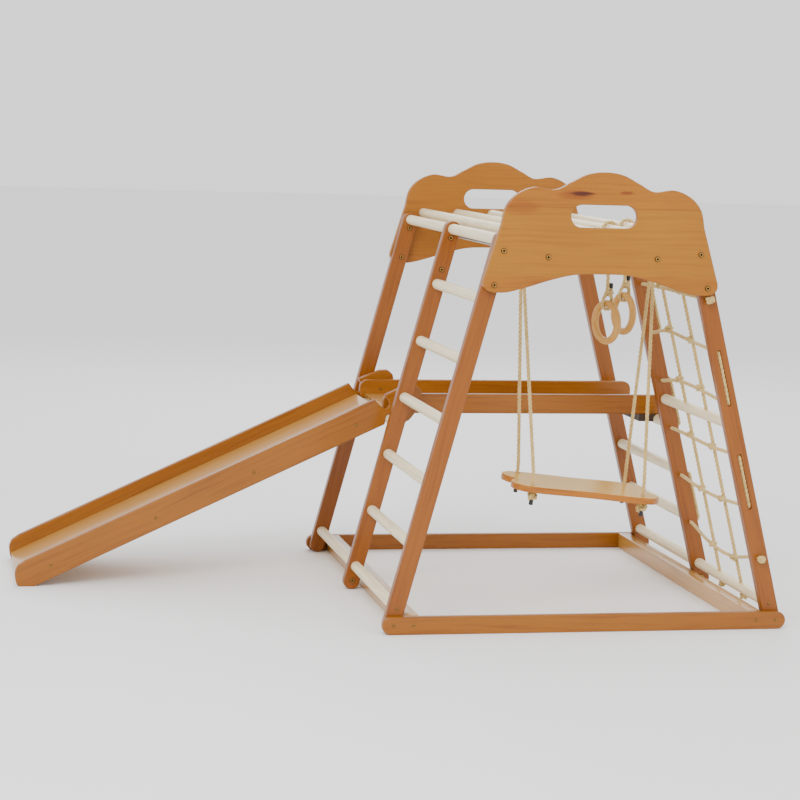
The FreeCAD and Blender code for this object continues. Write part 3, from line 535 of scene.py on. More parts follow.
def rope_tree():
    """Three strands laid round each line of edges."""
    tree, entry, end = new_tree("laid_rope", [
        ("Thickness", "NodeSocketFloat"), ("Lay length", "NodeSocketFloat"), ("Spacing", "NodeSocketFloat"),
        ("Finish", "NodeSocketMaterial")])
    line = add_node(tree, "GeometryNodeMeshToCurve", inputs={"Mesh": entry.outputs["Geometry"]})
    steps = add_node(tree, "GeometryNodeResampleCurve", {"mode": "LENGTH"}, {
        "Curve": line.outputs["Curve"], "Length": entry.outputs["Spacing"]})
    run = add_node(tree, "GeometryNodeSplineParameter")
    turns = add_node(tree, "ShaderNodeMath", {"operation": "DIVIDE"}, {
        0: run.outputs["Length"], 1: entry.outputs["Lay length"]})
    twist = add_node(tree, "ShaderNodeMath", {"operation": "MULTIPLY"}, {
        0: turns.outputs["Value"], 1: math.tau})
    tilted = add_node(tree, "GeometryNodeSetCurveTilt", inputs={
        "Curve": steps.outputs["Curve"], "Tilt": twist.outputs["Value"]})
    along = add_node(tree, "GeometryNodeStoreNamedAttribute", {"data_type": "FLOAT", "domain": "POINT"}, {
        "Geometry": tilted.outputs["Curve"], "Name": "along", "Value": run.outputs["Length"]})
    quarter = add_node(tree, "ShaderNodeMath", {"operation": "DIVIDE"}, {
        0: entry.outputs["Thickness"], 1: 4.0})
    strand = add_node(tree, "GeometryNodeCurvePrimitiveCircle", inputs={
        "Resolution": 8, "Radius": quarter.outputs["Value"]})
    side = add_node(tree, "GeometryNodeSplineParameter")
    around = add_node(tree, "GeometryNodeStoreNamedAttribute", {"data_type": "FLOAT", "domain": "POINT"}, {
        "Geometry": strand.outputs["Curve"], "Name": "around", "Value": side.outputs["Factor"]})
    out = add_node(tree, "ShaderNodeCombineXYZ", inputs={"X": quarter.outputs["Value"]})
    moved = add_node(tree, "GeometryNodeTransform", inputs={
        "Geometry": around.outputs["Geometry"], "Translation": out.outputs["Vector"]})
    bundle = add_node(tree, "GeometryNodeJoinGeometry")
    for k in range(3):
        turned = add_node(tree, "GeometryNodeTransform", inputs={
            "Geometry": moved.outputs["Geometry"], "Rotation": (0, 0, math.tau * k / 3)})
        tree.links.new(turned.outputs["Geometry"], bundle.inputs["Geometry"])
    solid = add_node(tree, "GeometryNodeCurveToMesh", inputs={
        "Curve": along.outputs["Geometry"], "Profile Curve": bundle.outputs["Geometry"], "Fill Caps": True})
    end_tree(tree, entry, end, solid.outputs["Mesh"])
    return tree


def fixing_tree():
    """A copy of the fixing at each point, its head along the point's normal."""
    tree, entry, end = new_tree("fixings", [
        ("Fixing", "NodeSocketObject"), ("Finish", "NodeSocketMaterial")])
    head = add_node(tree, "GeometryNodeObjectInfo", inputs={"Object": entry.outputs["Fixing"]})
    facing = add_node(tree, "GeometryNodeInputNamedAttribute", {"data_type": "FLOAT_VECTOR"}, {
        "Name": "facing"})
    turn = add_node(tree, "FunctionNodeAlignRotationToVector", {"axis": "Z"}, {
        "Vector": facing.outputs["Attribute"]})
    placed = add_node(tree, "GeometryNodeInstanceOnPoints", inputs={
        "Points": entry.outputs["Geometry"], "Instance": head.outputs["Geometry"],
        "Rotation": turn.outputs["Rotation"]})
    end_tree(tree, entry, end, placed.outputs["Instances"], smooth=False)
    return tree


TREES = {}


def grown(name, mesh, tree_name, values):
    """Run a geometry tree over a mesh and keep the result as a plain mesh."""
    if tree_name not in TREES:
        TREES[tree_name] = {"bars": bar_tree, "rope": rope_tree, "fixings": fixing_tree}[tree_name]()
    tree = TREES[tree_name]
    source = linked(name, mesh)
    modifier = source.modifiers.new("build", "NODES")
    modifier.node_group = tree
    sockets = {item.name: item.identifier for item in tree.interface.items_tree if item.in_out == "INPUT"}
    for label, value in values.items():
        modifier[sockets[label]] = value
    return baked(source)


def points_mesh(name, points, edges=()):
    """A mesh of points, and of the edges between them."""
    mesh = bpy.data.meshes.new(name)
    mesh.from_pydata([tuple(p) for p in points], list(edges), [])
    return mesh


# ---------------------------------------------------------------------- uprights
FOOT_X, FOOT_Z, TOP_X, TOP_Z = 445, 19, 223, 873
BOTTOM_Z, BAR_Z = 56, 890
RUNG_STEP, OVERHEAD_STEP = 137, 92
SPAN = math.hypot(FOOT_X - TOP_X, TOP_Z - FOOT_Z)
LEAN = math.atan((FOOT_X - TOP_X) / (TOP_Z - FOOT_Z))
UPRIGHT_WIDTH, UPRIGHT_THICK = 38, 26
BOARD = 18
LEG_Y, PANEL_Y = 477, 499
PANEL_OUTSIDE = PANEL_Y + BOARD / 2
LEG_OUTSIDE, LEG_INSIDE = LEG_Y + UPRIGHT_THICK / 2, LEG_Y - UPRIGHT_THICK / 2
GROOVE_WIDTH, GROOVE_DEPTH = 10, 5.4
NET_ROWS = [750, 632, 514, 396, 278, 160]
LEFT, RIGHT = -1, 1


def line_x(side, z):
    """X of an upright's centre line at height z, in millimetres."""
    return side * (FOOT_X - (z - FOOT_Z) * math.tan(LEAN))


def grooved(mesh, place):
    """The right front leg with its two rope grooves cut into the outer face."""
    board = show("board", mesh, [])
    cutters = []
    for upper, lower in ((NET_ROWS[1], NET_ROWS[2]), (NET_ROWS[3], NET_ROWS[4])):
        start = (lower - FOOT_Z) / math.cos(LEAN)
        length = (upper - lower) / math.cos(LEAN)
        axes = place.to_3x3()
        deep = placing(place @ (Vector((start, 0, -UPRIGHT_THICK / 2)) * MM), axes @ ALONG, axes @ ACROSS)
        tool = board_mesh("groove", [stadium(length, GROOVE_WIDTH)], 2 * GROOVE_DEPTH, deep, None, 0.3 * MM)
        cutter = show("groove", tool, [])
        cutters.append(cutter)
        cut = board.modifiers.new("groove", "BOOLEAN")
        cut.operation, cut.solver, cut.object = "DIFFERENCE", "EXACT", cutter
    mesh = baked(board)
    for cutter in cutters:
        bpy.data.objects.remove(cutter)
    return mesh


def build_uprights():
    """Legs and stiles: round-ended boards that lean in towards the top."""
    for k, (name, side, y) in enumerate((
            ("near_left_leg", LEFT, -LEG_Y), ("near_right_leg", RIGHT, -LEG_Y), ("mid_left_stile", LEFT, 0),
            ("mid_right_stile", RIGHT, 0), ("far_left_leg", LEFT, LEG_Y), ("far_right_leg", RIGHT, LEG_Y))):
        along = Vector((-side * math.sin(LEAN), 0, math.cos(LEAN)))
        place = placing(at(side * FOOT_X, y, FOOT_Z), along, ACROSS.cross(along))
        mesh = board_mesh(name, [stadium(SPAN, UPRIGHT_WIDTH)], UPRIGHT_THICK, place, 11 + k)
        if name == "near_right_leg":
            mesh = grooved(mesh, place)
        keep_board("upright", name, mesh, "upright")


def build_floor_rails():
    """The two long rails with round ends and the two cross rails between them."""
    for k, (name, y) in enumerate((("near_floor_rail", -PANEL_Y), ("far_floor_rail", PANEL_Y))):
        place = placing(at(-450, y, 20), ALONG, UP)
        keep_board("rail", name, board_mesh(name, [stadium(900, 40)], BOARD, place, 21 + k), "board")
    outline = rounded([(0, -20, 2), (980, -20, 2), (980, 20, 2), (0, 20, 2)], 3)
    for k, (name, x) in enumerate((("left_cross_rail", -400), ("right_cross_rail", 400))):
        place = placing(at(x, -490, 20), ACROSS, UP)
        keep_board("rail", name, board_mesh(name, [outline], 32, place, 25 + k), "slide")


def build_panels():
    """Cloud-topped panels with a hand slot and an arched lower edge."""
    top = [(0, 1027), (40, 1021.5), (78, 1003), (113, 986.5), (160, 991), (199, 975), (223, 947), (232, 909)]
    arch = [(0, 803), (62, 801), (119, 788), (170, 772), (212, 761), (238, 759)]
    upper = flowing([(-x, z) for x, z in top[:0:-1]] + top)
    lower = flowing([(x, z) for x, z in arch[::-1]] + [(-x, z) for x, z in arch[1:]])
    right = [Vector(p) for p in ((269, 785), (269.5, 777), (266, 769), (259, 763), (250, 760))]
    left = [Vector((-p.x, p.y)) for p in right[::-1]]
    outline = upper + right + lower + left
    slot = arc(-51, 930, 25, 90, 270, 16) + arc(51, 930, 25, -90, 90, 16)
    for name, y, seed in (("near_panel", -PANEL_Y, None), ("far_panel", PANEL_Y, 34)):
        mesh = board_mesh(name, [outline, slot], BOARD, placing(at(0, y, 0), ALONG, UP), seed)
        keep_board("cloud", name, mesh, "panel")


def build_bars():
    """All round bars; those of one length are one piece."""
    near, far = -474, 3
    half = {"ladder_rung_%d" % i: (LEFT, near, BOTTOM_Z + RUNG_STEP * i) for i in range(1, 6)}
    half.update({
        "platform_left_bar": (LEFT, far, 404), "net_middle_bar": (RIGHT, near, 467),
        "right_far_bar_1": (RIGHT, far, 288), "right_far_bar_2": (RIGHT, far, 172),
        "platform_right_bar": (RIGHT, far, 404)})
    full = {"left_top_bar": (LEFT, near, TOP_Z), "left_bottom_bar": (LEFT, near, BOTTOM_Z),
            "right_top_bar": (RIGHT, near, TOP_Z), "right_bottom_bar": (RIGHT, near, BOTTOM_Z)}
    half_starts, full_starts = ([at(line_x(side, z), y, z) for side, y, z in bars.values()]
                                for bars in (half, full))
    over = {"overhead_bar_%d" % (i + 1): at(OVERHEAD_STEP * (i - 2), -500, BAR_Z) for i in range(5)}
    for name, starts, length, nodes in (("half_bars", half_starts, 471, half),
                                        ("side_bars", full_starts, 948, full),
                                        ("overhead_bars", over.values(), 1000, over)):
        mesh = grown(name, points_mesh(name, starts), "bars", {
            "Length": length * MM, "Thickness": sizes().bar_round, "Finish": MATERIALS["bar"]})
        finish_piece(show(name, mesh, [MATERIALS["bar"]]), "frame", nodes)


# ---------------------------------------------------------------------- platform and slide
DECK_Z, DECK_THICK = 416.5, 12
DECK_EDGE = 1.5 * MM


def build_platform():
    """Deck board between two rails with rounded top corners."""
    outline = rounded([(-360, 0, 2), (366, 0, 2), (366, 48, 27), (-360, 48, 27)], 10)
    for k, (name, y) in enumerate((("platform_near_rail", 95), ("platform_far_rail", 393))):
        place = placing(at(0, y, DECK_Z), ALONG, UP)
        keep_board("board", name, board_mesh(name, [outline], BOARD, place, 41 + k), "board")
    deck = rounded([(-349, 104, 1), (355, 104, 1), (355, 384, 1), (-349, 384, 1)], 2)
    place = placing(at(0, 0, DECK_Z + DECK_THICK / 2), ALONG, ACROSS)
    mesh = board_mesh("platform_deck", [deck], DECK_THICK, place, 45, DECK_EDGE)
    keep_board("board", "platform_deck", mesh, "slide")
    # The battens take the dark brown that stands in for the shade under the deck.
    for name, material in (("platform_battens", "dark"), ("tie_rods", "steel")):
        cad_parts[name].data.materials.clear()
        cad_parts[name].data.materials.append(MATERIALS[material])


SLIDE_DEGREES = 25
SLOPE = math.tan(math.radians(SLIDE_DEGREES))
WALL_RISE = 66 / math.cos(math.radians(SLIDE_DEGREES))


def wall_bottom(x):
    """Height of a slide wall's lower edge."""
    return SLOPE * (x + 1198)


def wall_top(x):
    """Height of a slide wall's upper edge."""
    return wall_bottom(x) + WALL_RISE


def build_slide():
    """Two hooked walls and the floor board between them."""
    recess = [(p.x, p.y, 0) for p in arc(-345, 404, 13, 180, 0, 16)]
    notch = flowing([(-360, wall_top(-360)), (-354, 452), (-349, 441), (-353, 432), (-361, 430), (-372, 436),
                     (-385, wall_top(-385))], steps=5)
    nose = flowing([(-1220, wall_top(-1220)), (-1229, 56), (-1237, 50), (-1242, 40), (-1244, 29),
                    (-1242, 14), (-1239, 5), (-1235, 0)], steps=4)
    outline = rounded([(p.x, p.y, 0) for p in nose]
                      + [(-1198, 0, 3), (-358, wall_bottom(-358), 1.5)] + recess
                      + [(-332, 390, 3), (-316, 391, 10), (-296, 404, 16), (-276, 430, 22), (-266, 456, 18),
                         (-271, 477, 12), (-285, 488, 10), (-304, 487, 10), (-332, wall_top(-332), 20)]
                      + [(p.x, p.y, 0) for p in notch], 4)
    for k, (name, y) in enumerate((("slide_near_wall", 75), ("slide_far_wall", 413))):
        place = placing(at(0, y, 0), ALONG, UP)
        sloped, sloped_place = turned_grain(outline, place, SLIDE_DEGREES)
        mesh = board_mesh(name, [sloped], BOARD, sloped_place, 51 + k)
        keep_board("board", name, mesh, "board", "slide")
    along = Vector((math.cos(math.radians(SLIDE_DEGREES)), 0, math.sin(math.radians(SLIDE_DEGREES))))
    up = Vector((-along.z, 0, along.x))
    low_x, below_top = -1240, 30
    low_z = wall_top(low_x) - (below_top + DECK_THICK) / along.x
    start = at(low_x + DECK_THICK * along.z, 84, low_z) + up * DECK_THICK / 2 * MM
    floor = rounded([(0, 0, 1), (965, 0, 1), (965, 320, 1), (0, 320, 1)], 2)
    mesh = board_mesh("slide_floor", [floor], DECK_THICK, placing(start, along, ACROSS), 55, DECK_EDGE)
    keep_board("board", "slide_floor", mesh, "slide", "slide")


def turned_grain(outline, place, degrees):
    """The same outline drawn in axes turned by degrees, so that the grain follows the board's slope."""
    a = math.radians(degrees)
    back = [Vector((p.x * math.cos(a) + p.y * math.sin(a), -p.x * math.sin(a) + p.y * math.cos(a)))
            for p in outline]
    return back, place @ Matrix.Rotation(a, 4, "Z")


# ---------------------------------------------------------------------- swing and rings
SWING_Y = -240
SWING_BAR_X = {LEFT: -OVERHEAD_STEP, RIGHT: 2 * OVERHEAD_STEP}
SEAT_PLACE = (Matrix.Translation(at(47, SWING_Y, 277)) @ Matrix.Rotation(math.radians(-3.5), 4, "Z")
              @ Matrix.Rotation(math.radians(5.4), 4, "Y"))
SEAT_THICK, SEAT_KNOT_Z, SEAT_TIP_Z = 15, -11, -23.5
HOLE_X, HOLE_Y = 131, 90


def on_seat(x, y, z):
    """A point in the seat's own axes, in millimetres from its middle."""
    return SEAT_PLACE @ (Vector((x, y, z)) * MM)


def build_seat():
    """The seat board: two lobes and a notch at each end, four rope holes, pale faces and an edge darkened as
    painted shade.
    """
    quarter = [(0, 110), (61, 115), (108, 118), (149, 112), (170, 85), (175, 54), (167, 23.6), (154, 0)]
    loop = quarter + [(x, -y) for x, y in quarter[-2::-1]]
    loop += [(-x, y) for x, y in loop[-2:0:-1]]
    outline = flowing(loop, closed=True)
    holes = [arc(sx * HOLE_X, sy * HOLE_Y, 5.2, 0, 345, 23) for sx in (-1, 1) for sy in (-1, 1)]
    place = SEAT_PLACE @ Matrix.Translation((0, 0, SEAT_THICK * MM / 2))
    mesh = board_mesh("swing_seat", [outline] + holes, SEAT_THICK, place, 61, 2.5 * MM)
    piece = show("seat_board", mesh, [MATERIALS["seat_top"], MATERIALS["seat_edge"]])
    # Faces that point up or down keep the pale varnish; the sides take the darker copy, which is painted
    # shade.
    up = SEAT_PLACE.to_3x3() @ UP
    for face in mesh.polygons:
        face.material_index = 0 if abs(face.normal.dot(up)) > 0.9 else 1
    finish_piece(piece, "swing", ["swing_seat"])


RINGS = {
    "front": dict(x=OVERHEAD_STEP, y=-255, z=676, turn=19),
    "back": dict(x=2 * OVERHEAD_STEP, y=-95, z=684, turn=13),
}
RING_RADIUS, RING_BAR = 43.5, 8.5
# Length round a ring and girth of its strip, in metres, over which its grain is laid.
RING_LENGTH, RING_GIRTH = 0.273, 0.053


def build_rings():
    """Grab rings bent from one round strip of wood, a little flattened inside where they are sanded."""
    for place, ring in RINGS.items():
        work = bmesh.new()
        grain = work.loops.layers.uv.new("grain")
        turn = math.radians(ring["turn"])
        level = Vector((-math.sin(turn), math.cos(turn), 0))
        through = Vector((math.cos(turn), math.sin(turn), 0))
        centre = at(ring["x"], ring["y"], ring["z"])
        big, small = 96, 28
        verts = []
        for i in range(big):
            a = math.tau * i / big
            out = level * math.cos(a) + UP * math.sin(a)
            for k in range(small):
                b = math.tau * k / small
                squeeze = 1.0 if math.cos(b) > 0 else 0.94
                reach = RING_RADIUS + RING_BAR * squeeze * math.cos(b)
                spot = out * reach + through * RING_BAR * math.sin(b)
                verts.append(work.verts.new(centre + spot * MM))
        for i in range(big):
            for k in range(small):
                corners = ((i, k), (i + 1, k), (i + 1, k + 1), (i, k + 1))
                face = work.faces.new([verts[p % big * small + q % small] for p, q in corners])
                face.smooth = True
                for corner, (p, q) in zip(face.loops, corners):
                    corner[grain].uv = (p / big * RING_LENGTH, q / small * RING_GIRTH)
        name = "grab_ring_" + place
        piece = show(name, closed_mesh(name, work), [MATERIALS["ring"]])
        finish_piece(piece, place + "_ring_hanger", [place + "_ring"])


# ---------------------------------------------------------------------- ropes
def spline_points(points):
    """The smooth line of a rope with these control points, read from a NURBS spline."""
    curve = bpy.data.curves.new("route", "CURVE")
    curve.dimensions = "3D"
    curve.resolution_u = 12
    spline = curve.splines.new("NURBS")
    spline.points.add(len(points) - 1)
    for point, place in zip(spline.points, points):
        point.co = (*place, 1)
    spline.order_u = 3
    spline.use_endpoint_u = True
    mesh = baked(linked("route", curve))
    line = [v.co.copy() for v in mesh.vertices]
    bpy.data.meshes.remove(mesh)
    return line


def laid_strands(name, points, edges, swell=1.0, tighten=1.0):
    """Laid rope along the lines of edges; swell scales its thickness and tighten the length of its lay."""
    mesh = grown(name, points_mesh(name, points, edges), "rope", {
        "Thickness": sizes().rope_thick * swell, "Lay length": sizes().rope_lay * tighten,
        "Spacing": 2.5 * MM, "Finish": MATERIALS["rope"]})
    return show(name, mesh, [MATERIALS["rope"]])


def build_rope(name, route, body, node_name):
    """A laid rope along its route."""
    line = spline_points(route)
    edges = [(i, i + 1) for i in range(len(line) - 1)]
    piece = laid_strands(name, line, edges)
    finish_piece(piece, body, [node_name])


KNOT_STEPS = 72


def knot_lines(centre, size, chance):
    """The closed line of a pulled-tight overhand knot about a centre, turned by chance."""
    turn = Matrix.Rotation(chance.uniform(0, math.tau), 3, "Z")
    turn = turn @ Matrix.Rotation(chance.uniform(-0.5, 0.5), 3, "X")
    line = []
    for i in range(KNOT_STEPS):
        a = math.tau * i / KNOT_STEPS
        spot = Vector((math.sin(a) + 2 * math.sin(2 * a), math.cos(a) - 2 * math.cos(2 * a),
                       -1.6 * math.sin(3 * a)))
        line.append(centre + turn @ spot * size / 3)
    return line


def build_knots(name, knots, body, nodes, seed):
    """Tight knots, each a (centre, half width in millimetres)."""
    chance = random.Random(seed)
    points, edges = [], []
    for centre, reach in knots:
        first = len(points)
        line = knot_lines(centre, reach * MM - sizes().rope_thick * 0.5, chance)
        points += line
        edges += [(first + i, first + (i + 1) % len(line)) for i in range(len(line))]
    return finish_piece(laid_strands(name, points, edges, 1.05, 0.8), body, nodes)


OUT_LINE = Vector((math.cos(LEAN), 0, math.sin(LEAN)))


def on_right(z, y, out=0.0):
    """A point in the plane of the right uprights, moved outwards by out; all given in millimetres."""
    return at(line_x(RIGHT, z), y, z) + OUT_LINE * out * MM


NET_LINES = {"front": 316, "back": 170}
KNOT_Z = {"front": (756, 645, 533, 396, 272, 131), "back": (758, 656, 536, 402, 273, 136)}
# The net's crossings lie this far behind the plane of the uprights.
BEHIND = -9.2
ROPE_END, NET_KNOT = 14, 12


def net_route():
    """The one long rope of the net: six rows, through the front leg, round the middle stile."""
    front, stile = -LEG_OUTSIDE, -UPRIGHT_THICK / 2
    groove, channel, side_out = front + 4.8, stile + 8, 24
    route = [on_right(NET_ROWS[0], front - ROPE_END)]
    for i, z in enumerate(NET_ROWS):
        crossing = [on_right(KNOT_Z["front"][i], -NET_LINES["front"], BEHIND),
                    on_right(KNOT_Z["back"][i], -NET_LINES["back"], BEHIND)]
        leg = [on_right(z, front + 34), on_right(z, front + 12)]
        post = [on_right(z, stile - 12), on_right(z, channel - 8), on_right(z, channel),
                on_right(z, channel, 9), on_right(z, channel, side_out)]
        if i % 2 == 0:
            if i > 0:
                route += [on_right(z + 14, groove), on_right(z, groove), leg[1]]
            route += [leg[0]] + crossing + post + [on_right(z - 14, channel, side_out)]
        else:
            route += [on_right(z + 14, channel, side_out)] + post[::-1] + crossing[::-1] + [leg[0]]
            if z != NET_ROWS[-1]:
                route += [leg[1], on_right(z, groove), on_right(z - 14, groove)]
    route.append(on_right(NET_ROWS[-1], front - ROPE_END))
    return route


def build_net():
    """The rope net on the right side with its knots."""
    tied = [on_right(KNOT_Z[place][i], -y, BEHIND / 2) for place, y in NET_LINES.items() for i in range(6)]
    tied += [on_right(z, -LEG_OUTSIDE - 10.5) for z in (NET_ROWS[0], NET_ROWS[-1])]
    knots = build_knots("net_crossing_knots", [(p, NET_KNOT) for p in tied], "frame", ["net_knots"], 71)
    build_rope("net_long_rope", net_route(), "frame", "net_rope")
    for k, (place, y) in enumerate(NET_LINES.items()):
        foot, top = BOTTOM_Z - 22, TOP_Z + 22
        ends = [(on_right(z, -y), NET_KNOT) for z in (TOP_Z + 21, BOTTOM_Z - 19)]
        knots = build_knots("net_end_knots_" + place, ends, "frame", ["net_knots"], 81 + k)
        route = [on_right(top, -y), on_right(top - 60, -y), on_right(foot + 60, -y), on_right(foot, -y)]
        build_rope("net_line_" + place, route, "frame", "net_upright_rope_" + place)


# Half side of an octagon whose sides are 1 from its middle.
OCTAGON = 0.4142
SWING_LOOP = 21
ROPE_HALF, BAR_RADIUS = 4.5, 12.5


def octagon(x, z, radius, side):
    """Corners of the loop over a bar, from the outer side over the top and round to below the bar."""
    k = OCTAGON * radius
    return [(x + side * radius, z - k), (x + side * radius, z + k), (x + side * k, z + radius),
            (x - side * k, z + radius), (x - side * radius, z + k), (x - side * radius, z - k),
            (x - side * k, z - radius)]


def swing_route(side):
    """From one hole of the seat up, round the overhead bar and down to the other hole."""
    bar_x = SWING_BAR_X[side]
    outer = bar_x + side * SWING_LOOP
    low, high = SWING_Y - 5.2, SWING_Y + 5.2
    below, above, bar_drop, lead = -24, SEAT_THICK + 12, 55, 54 * MM
    start, leave = (on_seat(side * HOLE_X, -HOLE_Y, z) for z in (below, above))
    top = at(outer, low, BAR_Z - bar_drop)
    route = [start, leave, leave + (top - leave).normalized() * lead,
             top + (leave - top).normalized() * lead, top]
    corners = octagon(bar_x, BAR_Z, SWING_LOOP, side)
    for i, (x, z) in enumerate(corners):
        route.append(at(x, low + (high - low) * i / (len(corners) - 1), z))
    enter, end = (on_seat(side * HOLE_X, HOLE_Y, z) for z in (above, below))
    top = at(outer, high, BAR_Z - bar_drop)
    route += [at(outer, high, BAR_Z - SWING_LOOP), top, top + (enter - top).normalized() * lead,
              enter + (top - enter).normalized() * lead, enter, end]
    return route


def build_swing_ropes():
    """The swing's two ropes, their knots and their black ends."""
    for k, (side, name) in enumerate(((LEFT, "swing_left_rope"), (RIGHT, "swing_right_rope"))):
        outer = SWING_BAR_X[side] + side * SWING_LOOP
        knots, tips = [(at(outer, SWING_Y, BAR_Z - 38), 11.5)], []
        for sign in (-1, 1):
            width = 16 if (side, sign) == (RIGHT, -1) else 13.5
            knots.append((on_seat(side * HOLE_X, sign * HOLE_Y, SEAT_KNOT_Z), width))
            tips.append((on_seat(side * HOLE_X, sign * HOLE_Y, SEAT_TIP_Z), SEAT_PLACE.to_3x3() @ -UP))
        tied = build_knots(name + "_tied_knots", knots, "swing", ["swing_knots"], 73 + k)
        sleeves = build_fixings(name + "_sleeves", tips, "sleeve", "tip", "swing",
                                ["swing_rope_tips"])
        build_rope("hanging_" + name, swing_route(side), "swing", name)


def by_ring(ring, along, up):
    """A point beside a ring's top, in the direction across the ring, in millimetres."""
    angle = math.radians(ring["turn"])
    return at(ring["x"] + along * math.cos(angle), ring["y"] + along * math.sin(angle),
              ring["z"] + RING_RADIUS + up)


def ring_route(ring):
    """From the sleeved end down round the ring, up to the overhead bar, round it and into its knot."""
    hold = RING_BAR + ROPE_HALF + 0.4
    q = OCTAGON * hold
    grip = BAR_RADIUS + ROPE_HALF + 0.5
    k = OCTAGON * grip
    low = [(9.6, 40), (9.6, 26), (hold, q), (hold, -q), (q, -hold), (-q, -hold), (-hold, -q), (-hold, q),
           (0, 30), (0, 52)]
    high = [(0, -62), (0, -44), (-grip, -k), (-grip, k), (-k, grip), (k, grip), (grip, k), (grip, -k),
            (10.2, -31), (10.2, -58)]
    return ([by_ring(ring, along, up) for along, up in low]
            + [at(ring["x"] + along, ring["y"], BAR_Z + up) for along, up in high])


def build_ring_ropes():
    """Each ring's rope, its two knots and its black end."""
    for k, (place, ring) in enumerate(RINGS.items()):
        body = place + "_ring_hanger"
        knots = [(by_ring(ring, 4.8, 24), 12), (at(ring["x"] + 4.6, ring["y"], BAR_Z - 41.5), 12)]
        tied = build_knots(place + "_ring_knots_tied", knots, body, [place + "_ring_knots"], 75 + k)
        sleeve = build_fixings(place + "_ring_sleeve", [(by_ring(ring, 9.6, 39.5), UP)], "sleeve", "tip",
                               body, [place + "_ring_tip"])
        build_rope(place + "_ring_hanging_rope", ring_route(ring), body, place + "_ring_rope")


# ---------------------------------------------------------------------- fixings
def lathe(name, profile, steps=28):
    """A closed solid of revolution about Z; the profile is (radius, height) in millimetres, axis to axis."""
    work = bmesh.new()
    rings = []
    for radius, height in profile:
        if radius < 0.001:
            rings.append([work.verts.new((0, 0, height * MM))])
            continue
        rings.append([work.verts.new((radius * MM * math.cos(math.tau * k / steps),
                                      radius * MM * math.sin(math.tau * k / steps), height * MM))
                      for k in range(steps)])
    for lower, upper in zip(rings, rings[1:]):
        for k in range(steps):
            n = (k + 1) % steps
            if len(lower) == 1:
                work.faces.new((lower[0], upper[k], upper[n]))
            elif len(upper) == 1:
                work.faces.new((lower[k], lower[n], upper[0]))
            else:
                work.faces.new((lower[k], lower[n], upper[n], upper[k]))
    mesh = closed_mesh(name, work)
    widest = max(radius for radius, _ in profile) * MM
    distance = mesh.attributes.new("from_axis", "FLOAT", "POINT")
    for item, vertex in zip(distance.data, mesh.vertices):
        item.value = vertex.co.xy.length / widest
    return mesh


# A low bolt head with a socket, a raised screw head with a driver hollow, one that stands only a little out
# of the board, and the shrink sleeve on a rope's end.
SHAPES = {
    "bolt": ((0, -1), (5.6, -1), (6, -0.4), (6, 1.6), (5.6, 2.5), (4.8, 3), (4, 3), (2.7, 3), (2.4, 2.7),
             (2.4, 0.8), (0, 0.6)),
    "screw": ((0, -1), (3.7, -1), (4, -0.3), (3.8, 0.5), (3.0, 1.2), (2.0, 1.45), (1.5, 1.4), (1.3, 0.5),
              (0, 0.2)),
    "flush_screw": ((0, -1), (3.9, -1), (4, 0), (3.4, 0.6), (2.2, 0.75), (1.4, 0.7), (1.2, 0.1), (0, 0)),
    "sleeve": ((0, -4), (4.75, -4), (4.9, -3.2), (4.9, 6.6), (4.4, 7.7), (3.2, 8.2), (0, 8.3)),
}


def build_fixings(name, spots, shape, material, body, nodes):
    """Copies of one fixing at (place, facing) spots, as one piece."""
    mesh = points_mesh(name, [place for place, _ in spots])
    facing = mesh.attributes.new("facing", "FLOAT_VECTOR", "POINT")
    for item, (_, direction) in zip(facing.data, spots):
        item.vector = direction
    pattern = linked("pattern", lathe(shape, SHAPES[shape]))
    result = grown(name, mesh, "fixings", {"Fixing": pattern, "Finish": MATERIALS[material]})
    bpy.data.objects.remove(pattern)
    return finish_piece(show(name, result, [MATERIALS[material]]), body, nodes)


def build_all_fixings():
    """Bolt and screw heads of the frame, the platform and the slide."""
    bolts, screws = [], []
    for towards in (-1, 1):
        facing = ACROSS * towards
        for side in (LEFT, RIGHT):
            through = [(226, 851), (245, 776)]
            bolts += [(at(side * x, towards * PANEL_OUTSIDE, z), facing) for x, z in through + [(125, 839)]]
            bolts += [(at(side * x, towards * LEG_INSIDE, z), -facing) for x, z in through]
            screws += [(at(side * x, towards * PANEL_OUTSIDE, 22), facing) for x in (FOOT_X, 400)]
            screws.append((at(line_x(side, BOTTOM_Z), towards * LEG_OUTSIDE, BOTTOM_Z), facing))
    for side in (LEFT, RIGHT):
        bolts += [(at(line_x(side, z), -UPRIGHT_THICK / 2, z), -ACROSS) for z in (852, 776, 22)]
    deck = [(at(x, y, DECK_Z + DECK_THICK / 2), ACROSS * s)
            for x in (-305, 0, 330) for y, s in ((86, -1), (402, 1))]
    deck.append((at(-306, 384, 440), -ACROSS))
    wall = [(at(x, y, z), ACROSS * s)
            for x, z in ((-1160, 50), (-913, 164.5), (-678, 274), (-431, 389.5))
            for y, s in ((66, -1), (422, 1))]
    for name, spots, shape, body, node in (
            ("bolt_heads", bolts, "bolt", "frame", "frame_bolts"),
            ("screw_heads", screws, "screw", "frame", "frame_screws"),
            ("platform_screw_heads", deck, "flush_screw", "frame", "platform_screws"),
            ("slide_screw_heads", wall, "screw", "slide", "slide_screws")):
        build_fixings(name, spots, shape, "bronze", body, [node])


